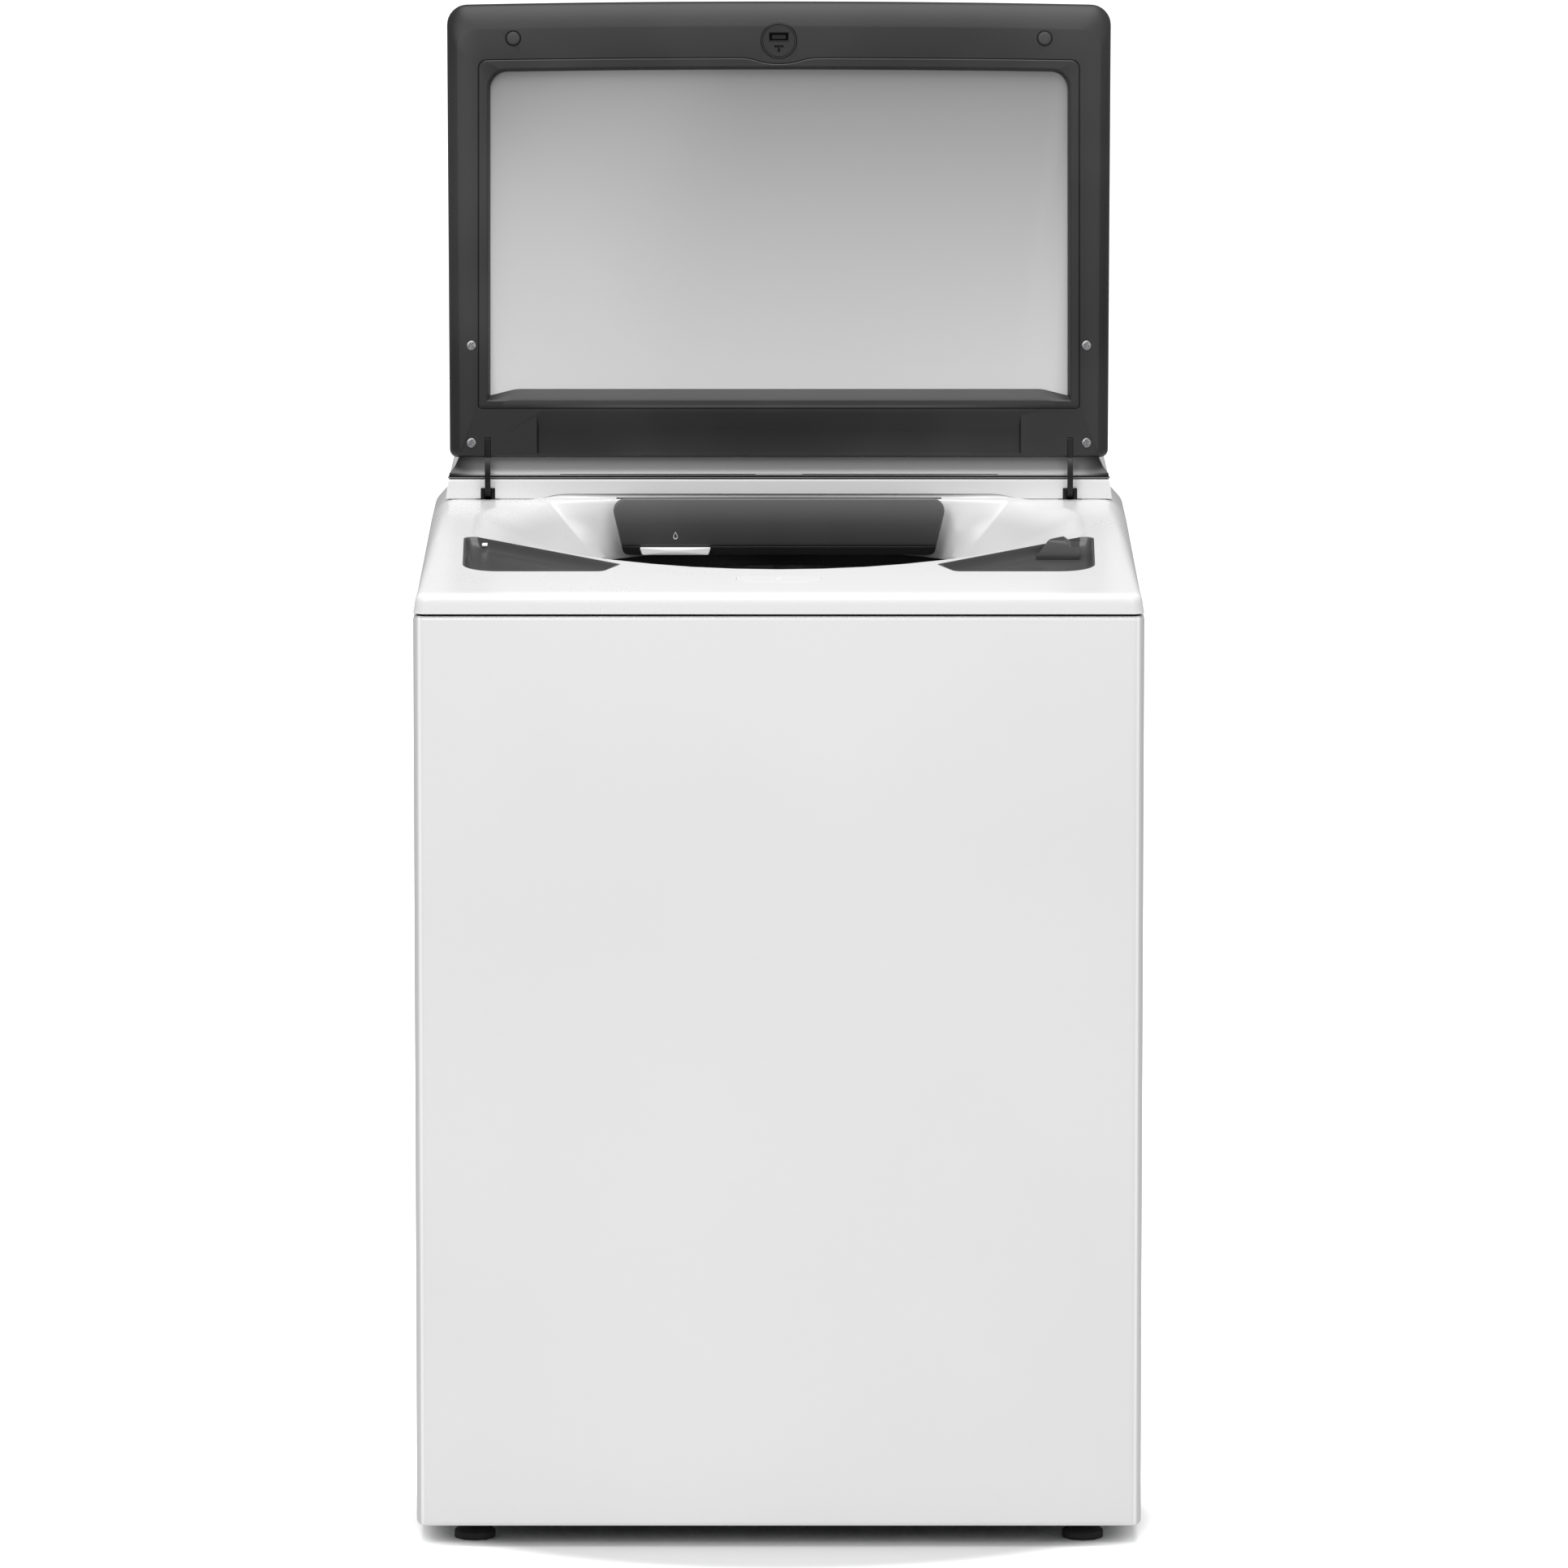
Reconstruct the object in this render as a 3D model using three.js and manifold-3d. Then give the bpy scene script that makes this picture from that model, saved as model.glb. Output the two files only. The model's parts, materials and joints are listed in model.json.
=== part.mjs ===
// Top load washing machine.
// Millimetres, +Z up, +Y to the rear. The origin is on the floor under the middle of the machine.
// The lid stands open at rest.

import * as THREE from 'three';
import Module from 'manifold-3d';
import { mergeVertices } from 'three/addons/utils/BufferGeometryUtils.js';

const wasm = await Module();
wasm.setup();

// ---------------------------------------------------------------- driving dimensions

const GAP = 0.3; // between pieces that touch
const RUNNING_GAP = 0.5; // between pieces that turn or slide on each other

// Facets round a full turn
const TUB_FACETS = 24;
const DRIVE_FACETS = 16;
const ROUND_FACETS = 16;
const PIN_FACETS = 10;

// Cabinet
const CABINET_WIDTH = 709;
const CABINET_DEPTH = 655;
const CABINET_HEIGHT = 897.5;
const FLOOR_GAP = 20.5; // floor to the cabinet's lower edge
const SHEET = 2;
const CABINET_CORNER = 12;
const CABINET_FLANGE = 20;
const GUSSET_LEG = 150; // corner plates that the suspension rods hang from
const BASE_THICKNESS = 16;
const BASE_RAIL = 46;
const BASE_CHAMFER = 55; // across the base window's corners
const BASE_BOSS_RADIUS = 13; // round each levelling foot's stem

// Rear panel and its services: [in from the side, down from the top, half width, half height]
const BEAD_X = 200; // between the panel's beads
const BEAD_HALF = 26;
const BEAD_RADIUS = 24;
const BEAD_FOOT = 120; // above the cabinet's lower edge
const BEAD_HEAD = 190; // below the cabinet's upper edge
const BEAD_HEIGHT = 3;
const VALVE_SIZE = [122.5, 66, 52, 22];
const VALVE_DEPTH = 24;
const VALVE_PORT_X = 28;
const VALVE_PORT = { radius: 13, bore: 9, length: 20, floor: 6 };
const DRAIN_SIZE = [118.5, 50, 22, 22];
const DRAIN_SPIGOT = { radius: 16, bore: 12, length: 22 };
const GLAND_SIZE = [58.5, 50, 11, 11];
const GLAND_SPIGOT = { radius: 7, bore: 3.5, length: 8 };
const SPIGOT_TAIL = 12; // behind the panel's face

// Levelling feet
const FOOT_INSET_X = 56;
const FOOT_INSET_Y = 52;
const FOOT_RADIUS = 21;
const FOOT_STEM_RADIUS = 5;
const FOOT_STEM_TOP = 52;
const FOOT_SOLE = 7; // height of the pad's rim
const FOOT_NUT_RADIUS = 10;

// Top deck
const DECK_GAP = 2.4; // shadow line between cabinet and deck
const DECK_SKIRT = 19.6; // height of the deck's front face
const DECK_SLOPE = THREE.MathUtils.degToRad(4.15);
const DECK_ROLL = 8;
const DECK_WALL = 3;
const DECK_FRONT_INSET = 2.5;
const DECK_REAR_INSET = 19.5;
const RISER_TO_REAR = 164; // console's riser to the cabinet's rear

// Wash opening in the deck
const TUB_OFFSET = 1.5; // cabinet's middle back to the tub's axis
const OPENING_LIP = 14; // balance ring's mouth in to the opening
const OPENING_DEPTH = 33; // front rim down to the opening's lower edge
const RIM_SPREAD = 92; // opening's radius out to the rim's front arc
const RIM_CORNER_INSET = 48.5; // cabinet's side in to the opening's shoulder
const RIM_CORNER_SETBACK = 303;
const RIM_TURN_X = 168;
const RIM_REAR_GAP = 6; // opening's rear edge to the riser
const RIM_BULGE = 12; // how far the rear corners swing out

// Trays in the deck
const TRAY_TIP_X = 155;
const TRAY_TIP_SETBACK = 154;
const TRAY_FRONT_SETBACK = 117;
const TRAY_INSET = 41.5; // cabinet's side in to a tray
const TRAY_REAR_SETBACK = 294;
const TRAY_DEPTH = 22;
const TRAY_WALL = 2.2;
const TRAY_FRONT_CORNER = 40;

// Stain brush
const BRUSH_INSET = 38; // tray's outer side in to the middle of the brush
const BRUSH_HALF = 22;
const BRUSH_DEPTH = 35;
const BRUSH_SETBACK = 232; // front face to the brush's front
const BRUSH_GRIP = 7; // over the deck

// Detergent dispenser
const DISPENSER_TO_RISER = 29;
const DISPENSER_LENGTH = 165;
const DISPENSER_TOP_LIFT = 3.5; // above the seam
const DISPENSER_BOTTOM_LIFT = 3.5; // above the cabinet
const DISPENSER_TOP_HALF = 165.5;
const DISPENSER_BOTTOM_HALF = 150.5;
const DISPENSER_PANEL = 7;
const DISPENSER_WALL = 2.5;
const SPOUT_BAND = 9; // fixed band under the drawer front
const NICHE_GAP = 2.5; // each side of the dispenser
const NICHE_FRONT = 250; // front face to the channel
const SPOUT_X = -102;
const SPOUT_HALF = 35.5;
const SPOUT_REACH = 5; // in front of the drawer
const RUNNER_X = 96;
const RUNNER_HALF = 4;

// Console
const CONSOLE_DEPTH = 195;
const CONSOLE_HEIGHT = 111; // above the seam, as the next two are
const RISER_HEIGHT = 20;
const FASCIA_LIFT = 26.5;
const FASCIA_LEAN = THREE.MathUtils.degToRad(40);
const FASCIA_THICKNESS = 3;
const CONSOLE_WALL = 3;
const CONSOLE_INSET = 20.5; // cabinet's side in to the console's side, at the seam
const CONSOLE_LIP_INSET = 3; // and from there to the fascia's lower lip
const CONSOLE_TOP_INSET = 31; // and from there to the console's top
const SEAM_RISE = 5; // the seam steps up over the dispenser
const SEAM_STEP_INSET = 55; // middle of a hinge arm in to the seam's step
const SEAM_RUN = 14; // half the length of the step's S

// Controls
const KNOB_RADIUS = 22;
const KNOB_HEIGHT = 16;
const KNOB_X = 0;
const KNOB_SHAFT_RADIUS = 4;
const KNOB_SHAFT_LENGTH = 10;
const BUTTON_RADIUS = 8;
const BUTTON_TRAVEL = 1.2;
const BUTTON_FLANGE = 2.4;
const BOARD_DEPTH = 20; // fascia's face back to the board
const BOARD_HALF_LENGTH = 130;
const BOARD_HALF_WIDTH = 20;
const BOARD_POST_RADIUS = 3;
const BOARD_POST_INSET = 7;
const BOARD_BAY_HALF = 150;
const BOARD_BAY_INSET = 18; // fascia's edges in to the bay
const BOARD_BAY_DEPTH = 12;
const POWER_BUTTON_X = -90;
const START_BUTTON_X = 90;

// Lid, in its own frame: origin on the hinge axis, lying shut
const HINGE_BEHIND_RISER = 12.2;
const HINGE_ABOVE_SEAM = 24.4;
const LID_OPEN_ANGLE = THREE.MathUtils.degToRad(102);
const LID_SETBACK = 32; // front face to the shut lid's front edge
const LID_THICKNESS = 16;
const LID_PROUD = 0.5; // lid's side beyond the console's
const LID_TAPER = 3.2; // half width, front less rear
const LID_DROP = 21.7; // hinge axis down to the lid's underside
const LID_SETFORWARD = 16.5; // hinge axis forward to the lid's rear edge
const LID_ROLL = 27;
const LID_SIDE_BEVEL = 11;
const LID_CORNER = 20;
const LID_BORDER = 32.5; // lid's side in to the liner
const LINER_BORDER = 12; // liner's side in to the window
const LINER_REAR = 49; // lid's rear edge to the liner
const LINER_TO_FRONT = 58; // liner to the lid's front edge
const WINDOW_REAR_BORDER = 8;
const WINDOW_FRONT_BORDER = 11;
const GLASS_THICKNESS = 4;
const BUMPER_INSET = 26; // middle of a hinge arm in to a bumper
const BUMPER_TO_FRONT = 38; // bumper to the lid's front edge
const BUMPER_RADIUS = 6.5;
const BUMPER_PLUG_RADIUS = 4;
const BUMPER_PLUG = 7; // into the lid
const STRIKE_TO_FRONT = 40.5;
const STRIKE_RADIUS = 18;
const STRIKE_DEPTH = 8;
const CATCH_TO_FRONT = 49;
const BOSS_HALF = 36; // step of the frame round the strike
const BOSS_DEPTH = 6;
const LID_SKIN = 4;
const RELIEF_REAR = 2; // hollow in the lid's underside over the dispenser
const RELIEF_LENGTH = 42;
const RELIEF_DEPTH = 5.5;

// Hinge arms
const ARM_INSET = 41; // console's side in to the middle of an arm
const ARM_THICKNESS = 5.6;
const ARM_TAB = 19;
const ARM_TAB_HEIGHT = 9;
const ARM_END = THREE.MathUtils.degToRad(38);
const ARM_WEB = THREE.MathUtils.degToRad(38);
const ARM_HUB_RADIUS = 5.2;
const ARM_INNER_RADIUS = 21.5;
const ARM_OUTER_RADIUS = 26;
const HINGE_PIN_RADIUS = 2.5;
const BRACKET_HALF = 20;
const BRACKET_FRONT = 6; // before the hinge axis
const BRACKET_REAR = 32; // behind it
const CHEEK = 3;
const GUIDE_HALF = 5.7;
const GUIDE_TOP = 10.4; // above the seam
const GUIDE_FLANGE = 1.5;

// Lid lock
const LOCK_HALF_LENGTH = 41.5;
const LOCK_HALF_WIDTH = 19;
const LOCK_BODY_DEPTH = 26;
const BOLT_WIDTH = 6;
const BOLT_DEPTH = 4;
const BOLT_LENGTH = 22;
const BOLT_SINK = 0.4; // below the bezel's face

// Tub and basket
const TUB_CLEARANCE = 45.5; // tub's side to the cabinet's front and rear
const TUB_WALL = 4;
const TUB_BOTTOM = 230;
const TUB_DROP = 60; // cabinet's top down to the tub's
const TUB_RING_HEIGHT = 26;
const TUB_RING_WIDTH = 46;
const WATER_GAP = 20; // tub's side in to the basket's
const BASKET_WALL = 2;
const BASKET_LIFT = 34; // tub's floor up to the basket's
const BASKET_DROP = 36; // tub's top down to the basket's
const BALANCE_RING_HEIGHT = 42;
const BALANCE_RING_WIDTH = 48;
const BALANCE_RING_PLUG = 24; // how far the ring reaches down into the basket
const HUB_RADIUS = 28;
const HUB_DROP = 34; // tub's floor down to the basket's hub
const HUB_HEIGHT = 32; // above the basket's floor
const HUB_WALL = 6;
const SPIDER_DEPTH = 20;
const SPIDER_REACH = 30; // basket's side in to the tip of an arm
const SPIDER_ARM_HALF = 13;

// Drive
const SHAFT_RADIUS = 10;
const IMPELLER_CLEARANCE = 48; // basket's side in to the impeller
const IMPELLER_FINS = 6;
const IMPELLER_FIN_HALF = 7;
const IMPELLER_LIFT = 1.5; // over the basket's hub
const IMPELLER_CONE = [[60, 14], [40, 36], [18, 46], [0, 48]]; // [radius, height above the hub]
const FIN_ROOT = 5;
const FIN_HEIGHTS = { tip: 15, outer: 23, middle: 27, shoulder: 34, root: 40 }; // above the plate
const GEARCASE_RADIUS = 70;
const GEARCASE_FLANGE = 22;
const GEARCASE_DEPTH = 80; // tub's floor down to the gearcase's foot
const BELT_DROP = 46; // gearcase's foot down to the middle of the belt
const DRIVE_PULLEY_RADIUS = 75;
const MOTOR_PULLEY_RADIUS = 25;
const PULLEY_HUB = 9; // wall round the drive pulley's bore
const PULLEY_HUB_HALF = 10;
const PULLEY_WEB = 3; // half the web's thickness
const PULLEY_RIM = 12; // rim's outer edge in to the web
const SHAFT_END = 14; // below the middle of the belt
const MOTOR_X = 166;
const MOTOR_RADIUS = 62;
const MOTOR_LIFT = 24; // above the middle of the belt
const MOTOR_SHAFT = 7;
const MOTOR_SHAFT_REACH = 12; // into the motor's case
const BELT_HEIGHT = 9;
const BELT_THICKNESS = 4;
const PUMP_X = -168;
const PUMP_RADIUS = 44;
const PUMP_HEIGHT = 74;
const PUMP_COLLAR = 34; // height of the wide upper part
const PUMP_OUTLET = { radius: 13, bore: 9, length: 34 };

// Suspension
const ROD_INSET = 62; // from the cabinet's outer faces
const ROD_RADIUS = 4;
const ROD_HEAD_RADIUS = 7.5;
const ROD_BOTTOM = 158;
const EAR_LIFT = 76; // tub's floor up to the middle of an ear
const EAR_THICKNESS = 14;
const EAR_ROOT_HALF = 34;
const EAR_TIP_HALF = 15;
const EAR_TIP_CORNER = 14;
const EAR_LAP = 20; // into the tub's side
const EAR_RIB_HEIGHT = 62;
const EAR_RIB_INSET = 22; // rod in to the rib
const EAR_CORE = [60, 80]; // trimmed inside the tub, below and above the ear
const SPRING_RADIUS = 14;
const SPRING_WIRE = 2;
const SPRING_TURNS = 5.5;
const ROD_CAP = 8;

// ---------------------------------------------------------------- worked-out places

const RISER_SETBACK = CABINET_DEPTH - RISER_TO_REAR; // from the front face, as every setback is
const OVERALL_DEPTH = RISER_SETBACK + CONSOLE_DEPTH;
const fromFront = (setback) => setback - OVERALL_DEPTH / 2;
const FRONT = fromFront(0);
const CABINET_REAR = fromFront(CABINET_DEPTH);
const CABINET_BOTTOM = FLOOR_GAP;
const CABINET_TOP = CABINET_BOTTOM + CABINET_HEIGHT;
const HALF_WIDTH = CABINET_WIDTH / 2;
const service = (side, [inset, drop, ...half]) => [side * (HALF_WIDTH - inset), CABINET_TOP - drop, ...half];
const VALVE = service(-1, VALVE_SIZE);
const DRAIN_PORT = service(1, DRAIN_SIZE);
const CORD_GLAND = service(1, GLAND_SIZE);
const TUB_SETBACK = CABINET_DEPTH / 2 + TUB_OFFSET;
const TUB_RADIUS = CABINET_DEPTH / 2 - TUB_CLEARANCE;
const TUB_TOP = CABINET_TOP - TUB_DROP;
const TUB_RING_MOUTH = TUB_RADIUS - TUB_RING_WIDTH;
const BASKET_BOTTOM = TUB_BOTTOM + BASKET_LIFT;
const HUB_BOTTOM = TUB_BOTTOM - HUB_DROP;
const GEARCASE_BOTTOM = TUB_BOTTOM - GEARCASE_DEPTH;
const PULLEY_LEVEL = GEARCASE_BOTTOM - BELT_DROP;
const SHAFT_BOTTOM = PULLEY_LEVEL - SHAFT_END;
const MOTOR_BOTTOM = PULLEY_LEVEL + MOTOR_LIFT;
const EAR_LEVEL = TUB_BOTTOM + EAR_LIFT;
const BASKET_RADIUS = TUB_RADIUS - WATER_GAP;
const BASKET_TOP = TUB_TOP - BASKET_DROP;
const BALANCE_RING_MOUTH = BASKET_RADIUS - BALANCE_RING_WIDTH;
const IMPELLER_RADIUS = BASKET_RADIUS - IMPELLER_CLEARANCE;
const OPENING_RADIUS = BALANCE_RING_MOUTH - OPENING_LIP;
const RIM_ARC_RADIUS = OPENING_RADIUS + RIM_SPREAD;
const DISPENSER_SETBACK = RISER_SETBACK - DISPENSER_TO_RISER;
const DISPENSER_BOTTOM = CABINET_TOP + DISPENSER_BOTTOM_LIFT;
const DECK_BOTTOM = CABINET_TOP + DECK_GAP;
const deckLevel = (setback) =>
  DECK_BOTTOM + DECK_SKIRT + Math.tan(DECK_SLOPE) * (Math.min(setback, RISER_SETBACK) - DECK_ROLL);
const SEAM = deckLevel(RISER_SETBACK);
const DISPENSER_TOP = SEAM + DISPENSER_TOP_LIFT;
const CONSOLE_TOP = SEAM + CONSOLE_HEIGHT;
const RISER_TOP = SEAM + RISER_HEIGHT;
const FASCIA_BOTTOM = SEAM + FASCIA_LIFT;
const OPENING_LEVEL = DECK_BOTTOM + DECK_SKIRT - OPENING_DEPTH + Math.tan(DECK_SLOPE) * TUB_SETBACK / 2;
const TUB_Y = fromFront(TUB_SETBACK);
const HINGE = new THREE.Vector3(0, fromFront(RISER_SETBACK + HINGE_BEHIND_RISER), SEAM + HINGE_ABOVE_SEAM);
const LID_TOP = -LID_DROP + LID_THICKNESS;
const lidY = (fromRear) => -LID_SETFORWARD - fromRear;
const LID_LENGTH = RISER_SETBACK - LID_SETBACK;
const LINER_FRONT = LID_LENGTH - LINER_TO_FRONT; // from the lid's rear edge, as the next ones are
const WINDOW_REAR = LINER_REAR + WINDOW_REAR_BORDER;
const WINDOW_FRONT = LINER_FRONT - WINDOW_FRONT_BORDER;
const BUMPER_FROM_REAR = LID_LENGTH - BUMPER_TO_FRONT;
const STRIKE_FROM_REAR = LID_LENGTH - STRIKE_TO_FRONT;
const CATCH_FROM_REAR = LID_LENGTH - CATCH_TO_FRONT;
const BOSS_FROM_REAR = LINER_FRONT - BOSS_DEPTH;

const CONSOLE_HALF_LOW = HALF_WIDTH - CONSOLE_INSET;
const CONSOLE_HALF_LIP = CONSOLE_HALF_LOW - CONSOLE_LIP_INSET;
const CONSOLE_HALF_TOP = CONSOLE_HALF_LIP - CONSOLE_TOP_INSET;
const LID_FRONT_HALF = CONSOLE_HALF_LOW + LID_PROUD;
const LID_REAR_HALF = LID_FRONT_HALF - LID_TAPER;
const LINER_HALF = LID_FRONT_HALF - LID_BORDER;
const WINDOW_HALF = LINER_HALF - LINER_BORDER;
const ARM_X = CONSOLE_HALF_LOW - ARM_INSET;
const BUMPER_X = ARM_X - BUMPER_INSET;
const SEAM_STEP_X = ARM_X - SEAM_STEP_INSET;
const NICHE_TOP_HALF = DISPENSER_TOP_HALF + NICHE_GAP;
const NICHE_BOTTOM_HALF = DISPENSER_BOTTOM_HALF + NICHE_GAP;
const RIM_CORNER_X = HALF_WIDTH - RIM_CORNER_INSET;
const RIM_REAR_X = SEAM_STEP_X - 2;
const TRAY_OUTER_X = HALF_WIDTH - TRAY_INSET;
const BRUSH_X = TRAY_OUTER_X - BRUSH_INSET;
const HUB_TOP = BASKET_BOTTOM + HUB_HEIGHT;
const CAP_TOP = ROD_BOTTOM + ROD_CAP;
const PANEL_FRONT = CABINET_REAR + GAP;
const PANEL_REAR = PANEL_FRONT + SHEET;
const BASE_BOTTOM = CABINET_BOTTOM + SHEET + GAP;
const BASE_TOP = BASE_BOTTOM + BASE_THICKNESS;
const RISER_Y = fromFront(RISER_SETBACK);
const CONSOLE_REAR = RISER_Y + CONSOLE_DEPTH;
const CHEEK_INNER = ARM_THICKNESS / 2 + RUNNING_GAP;
const DRIVE_CHORD = Math.cos(Math.PI / DRIVE_FACETS); // flat of a faceted bore over its corner

// ---------------------------------------------------------------- solids

/** Welds a geometry's corners and makes a solid of it, with its faces pointing out. */
function solid(geometry) {
  const bare = new THREE.BufferGeometry();
  bare.setAttribute('position', geometry.getAttribute('position'));
  if (geometry.index) bare.setIndex(geometry.index);
  const welded = mergeVertices(bare, 1e-4);
  const place = welded.getAttribute('position');
  const corner = Array.from({ length: place.count }, (_, i) =>
    new THREE.Vector3().fromBufferAttribute(place, i));
  const faces = [];
  let volume = 0;
  for (let i = 0; i < welded.index.count; i += 3) {
    const [a, b, c] = [0, 1, 2].map((k) => welded.index.getX(i + k));
    if (a === b || b === c || c === a) continue;
    faces.push([a, b, c]);
    volume += corner[a].dot(corner[b].clone().cross(corner[c]));
  }
  if (volume < 0) faces.forEach((face) => face.reverse());
  return new wasm.Manifold(new wasm.Mesh({
    numProp: 3,
    vertProperties: new Float32Array(place.array),
    triVerts: new Uint32Array(faces.flat()),
  }));
}

const join = (first, ...others) => others.reduce((sum, other) => sum.add(other), first);
const cut = (first, ...others) => others.reduce((rest, other) => rest.subtract(other), first);
const common = (first, ...others) => others.reduce((rest, other) => rest.intersect(other), first);

/** A solid's geometry, for a mesh. */
function geometryOf(body) {
  const { vertProperties, triVerts } = body.getMesh();
  const geometry = new THREE.BufferGeometry();
  geometry.setAttribute('position', new THREE.BufferAttribute(new Float32Array(vertProperties), 3));
  geometry.setIndex(new THREE.BufferAttribute(new Uint32Array(triVerts), 1));
  geometry.computeVertexNormals();
  return geometry;
}

function box(x0, x1, y0, y1, z0, z1) {
  const geometry = new THREE.BoxGeometry(x1 - x0, y1 - y0, z1 - z0);
  geometry.translate((x0 + x1) / 2, (y0 + y1) / 2, (z0 + z1) / 2);
  return solid(geometry);
}

function extrude(shape, depth, curveSegments) {
  return new THREE.ExtrudeGeometry(shape, { depth, bevelEnabled: false, curveSegments });
}

/** A prism on a plan outline (x, y), from one level up to another. */
function prismZ(shape, z0, z1, curveSegments = 8) {
  return solid(extrude(shape, z1 - z0, curveSegments).translate(0, 0, z0));
}

/** A prism on a side outline (y, z), from one x to another. */
function prismX(shape, x0, x1, curveSegments = 8) {
  const turn = new THREE.Matrix4().makeBasis(
    new THREE.Vector3(0, 1, 0), new THREE.Vector3(0, 0, 1), new THREE.Vector3(1, 0, 0));
  return solid(extrude(shape, x1 - x0, curveSegments).applyMatrix4(turn).translate(x0, 0, 0));
}

/** A prism on a front outline (x, z), from one y to another. */
function prismY(shape, y0, y1, curveSegments = 8) {
  const turn = new THREE.Matrix4().makeBasis(
    new THREE.Vector3(1, 0, 0), new THREE.Vector3(0, 0, 1), new THREE.Vector3(0, -1, 0));
  return solid(extrude(shape, y1 - y0, curveSegments).applyMatrix4(turn).translate(0, y1, 0));
}

/** A solid of revolution about the Z axis through (x, y), from a profile of [radius, z]. */
function turned(profile, segments, x = 0, y = 0) {
  const points = profile.map(([radius, z]) => new THREE.Vector2(radius, z));
  const open = points[0].x > 0 || points.at(-1).x > 0;
  if (open) points.push(points[0].clone());
  return solid(new THREE.LatheGeometry(points, segments).rotateX(Math.PI / 2).translate(x, y, 0));
}

function rod(radius, z0, z1, x = 0, y = 0, segments = 24) {
  return turned([[0, z0], [radius, z0], [radius, z1], [0, z1]], segments, x, y);
}

/** A solid between loops of points, each loop with the same number of points. */
function loft(sections) {
  const clockwise = THREE.ShapeUtils.isClockWise(sections[0]);
  const loops = clockwise ? sections.map((section) => [...section].reverse()) : sections;
  const count = loops[0].length;
  const positions = loops.flat().flatMap((point) => [point.x, point.y, point.z]);
  const faces = [];
  for (let level = 0; level < loops.length - 1; level++) {
    for (let i = 0; i < count; i++) {
      const a = level * count + i;
      const b = level * count + (i + 1) % count;
      faces.push(a, b, b + count, a, b + count, a + count);
    }
  }
  for (const [level, up] of [[0, false], [loops.length - 1, true]]) {
    const flat = loops[level].map((point) => new THREE.Vector2(point.x, point.y));
    for (const [a, b, c] of THREE.ShapeUtils.triangulateShape(flat, [])) {
      const start = level * count;
      faces.push(...(up ? [a, b, c] : [a, c, b]).map((i) => i + start));
    }
  }
  const geometry = new THREE.BufferGeometry();
  geometry.setAttribute('position', new THREE.Float32BufferAttribute(positions, 3));
  geometry.setIndex(faces);
  return solid(geometry);
}

// ---------------------------------------------------------------- outlines

/** An outline through corners [x, y, radius], each rounded by its radius. */
function roundedOutline(corners) {
  const shape = new THREE.Shape();
  corners.forEach(([x, y, radius = 0], i) => {
    const here = new THREE.Vector2(x, y);
    const before = new THREE.Vector2(...corners.at(i - 1));
    const after = new THREE.Vector2(...corners[(i + 1) % corners.length]);
    const towards = (other) => {
      const reach = Math.min(radius, here.distanceTo(other) * 0.49);
      return here.clone().add(other.clone().sub(here).setLength(reach));
    };
    const start = radius ? towards(before) : here;
    const move = i ? 'lineTo' : 'moveTo';
    shape[move](start.x, start.y);
    if (radius) {
      const end = towards(after);
      shape.quadraticCurveTo(x, y, end.x, end.y);
    }
  });
  shape.closePath();
  return shape;
}

const rectangle = (x0, x1, y0, y1, radius = 0) =>
  roundedOutline([[x0, y0, radius], [x1, y0, radius], [x1, y1, radius], [x0, y1, radius]]);

const mirrored = (corners) => corners.map(([x, y, radius]) => [-x, y, radius]).reverse();

/** An outline that is the same on both sides of x = 0, from its right half, front to rear. */
const symmetric = (right) => roundedOutline([...right, ...mirrored(right)]);

// ---------------------------------------------------------------- meshes

const washer = new THREE.Group();

const finish = (color, roughness, metalness = 0, extra = {}) =>
  new THREE.MeshStandardMaterial({ color, roughness, metalness, ...extra });

const whiteEnamel = () => finish(0xe9e9ea, 0.28);
const whitePlastic = () => finish(0xe6e7e8, 0.35);
const greyPlastic = () => finish(0x4d4e50, 0.45);
const darkPlastic = () => finish(0x3a3b3d, 0.4);
const blackPlastic = () => finish(0x151516, 0.5);
const steel = () => finish(0xb9babc, 0.35, 0.9);
const galvanized = () => finish(0xa2a5a8, 0.5, 0.8);
const rubber = () => finish(0x1b1b1c, 0.8);

function place(name, body, material, parent = washer) {
  const mesh = new THREE.Mesh(geometryOf(body), material);
  mesh.name = name;
  parent.add(mesh);
}

const sides = [['left', -1], ['right', 1]];

// ---------------------------------------------------------------- cabinet

/** The cabinet's plan outline, set in from its faces; the rear end is square. */
function cabinetOutline(inset, rear, corner = 0) {
  const half = HALF_WIDTH - inset;
  const radius = Math.max(CABINET_CORNER - inset, 1) * 1.1;
  return symmetric([[half, FRONT + inset, radius], [half, rear, corner]]);
}

const rodPlaces = [];
for (const [sideName, side] of sides) {
  rodPlaces.push([`${sideName}_front`, side * (HALF_WIDTH - ROD_INSET), FRONT + ROD_INSET]);
  rodPlaces.push([`${sideName}_rear`, side * (HALF_WIDTH - ROD_INSET), CABINET_REAR - ROD_INSET]);
}

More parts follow.
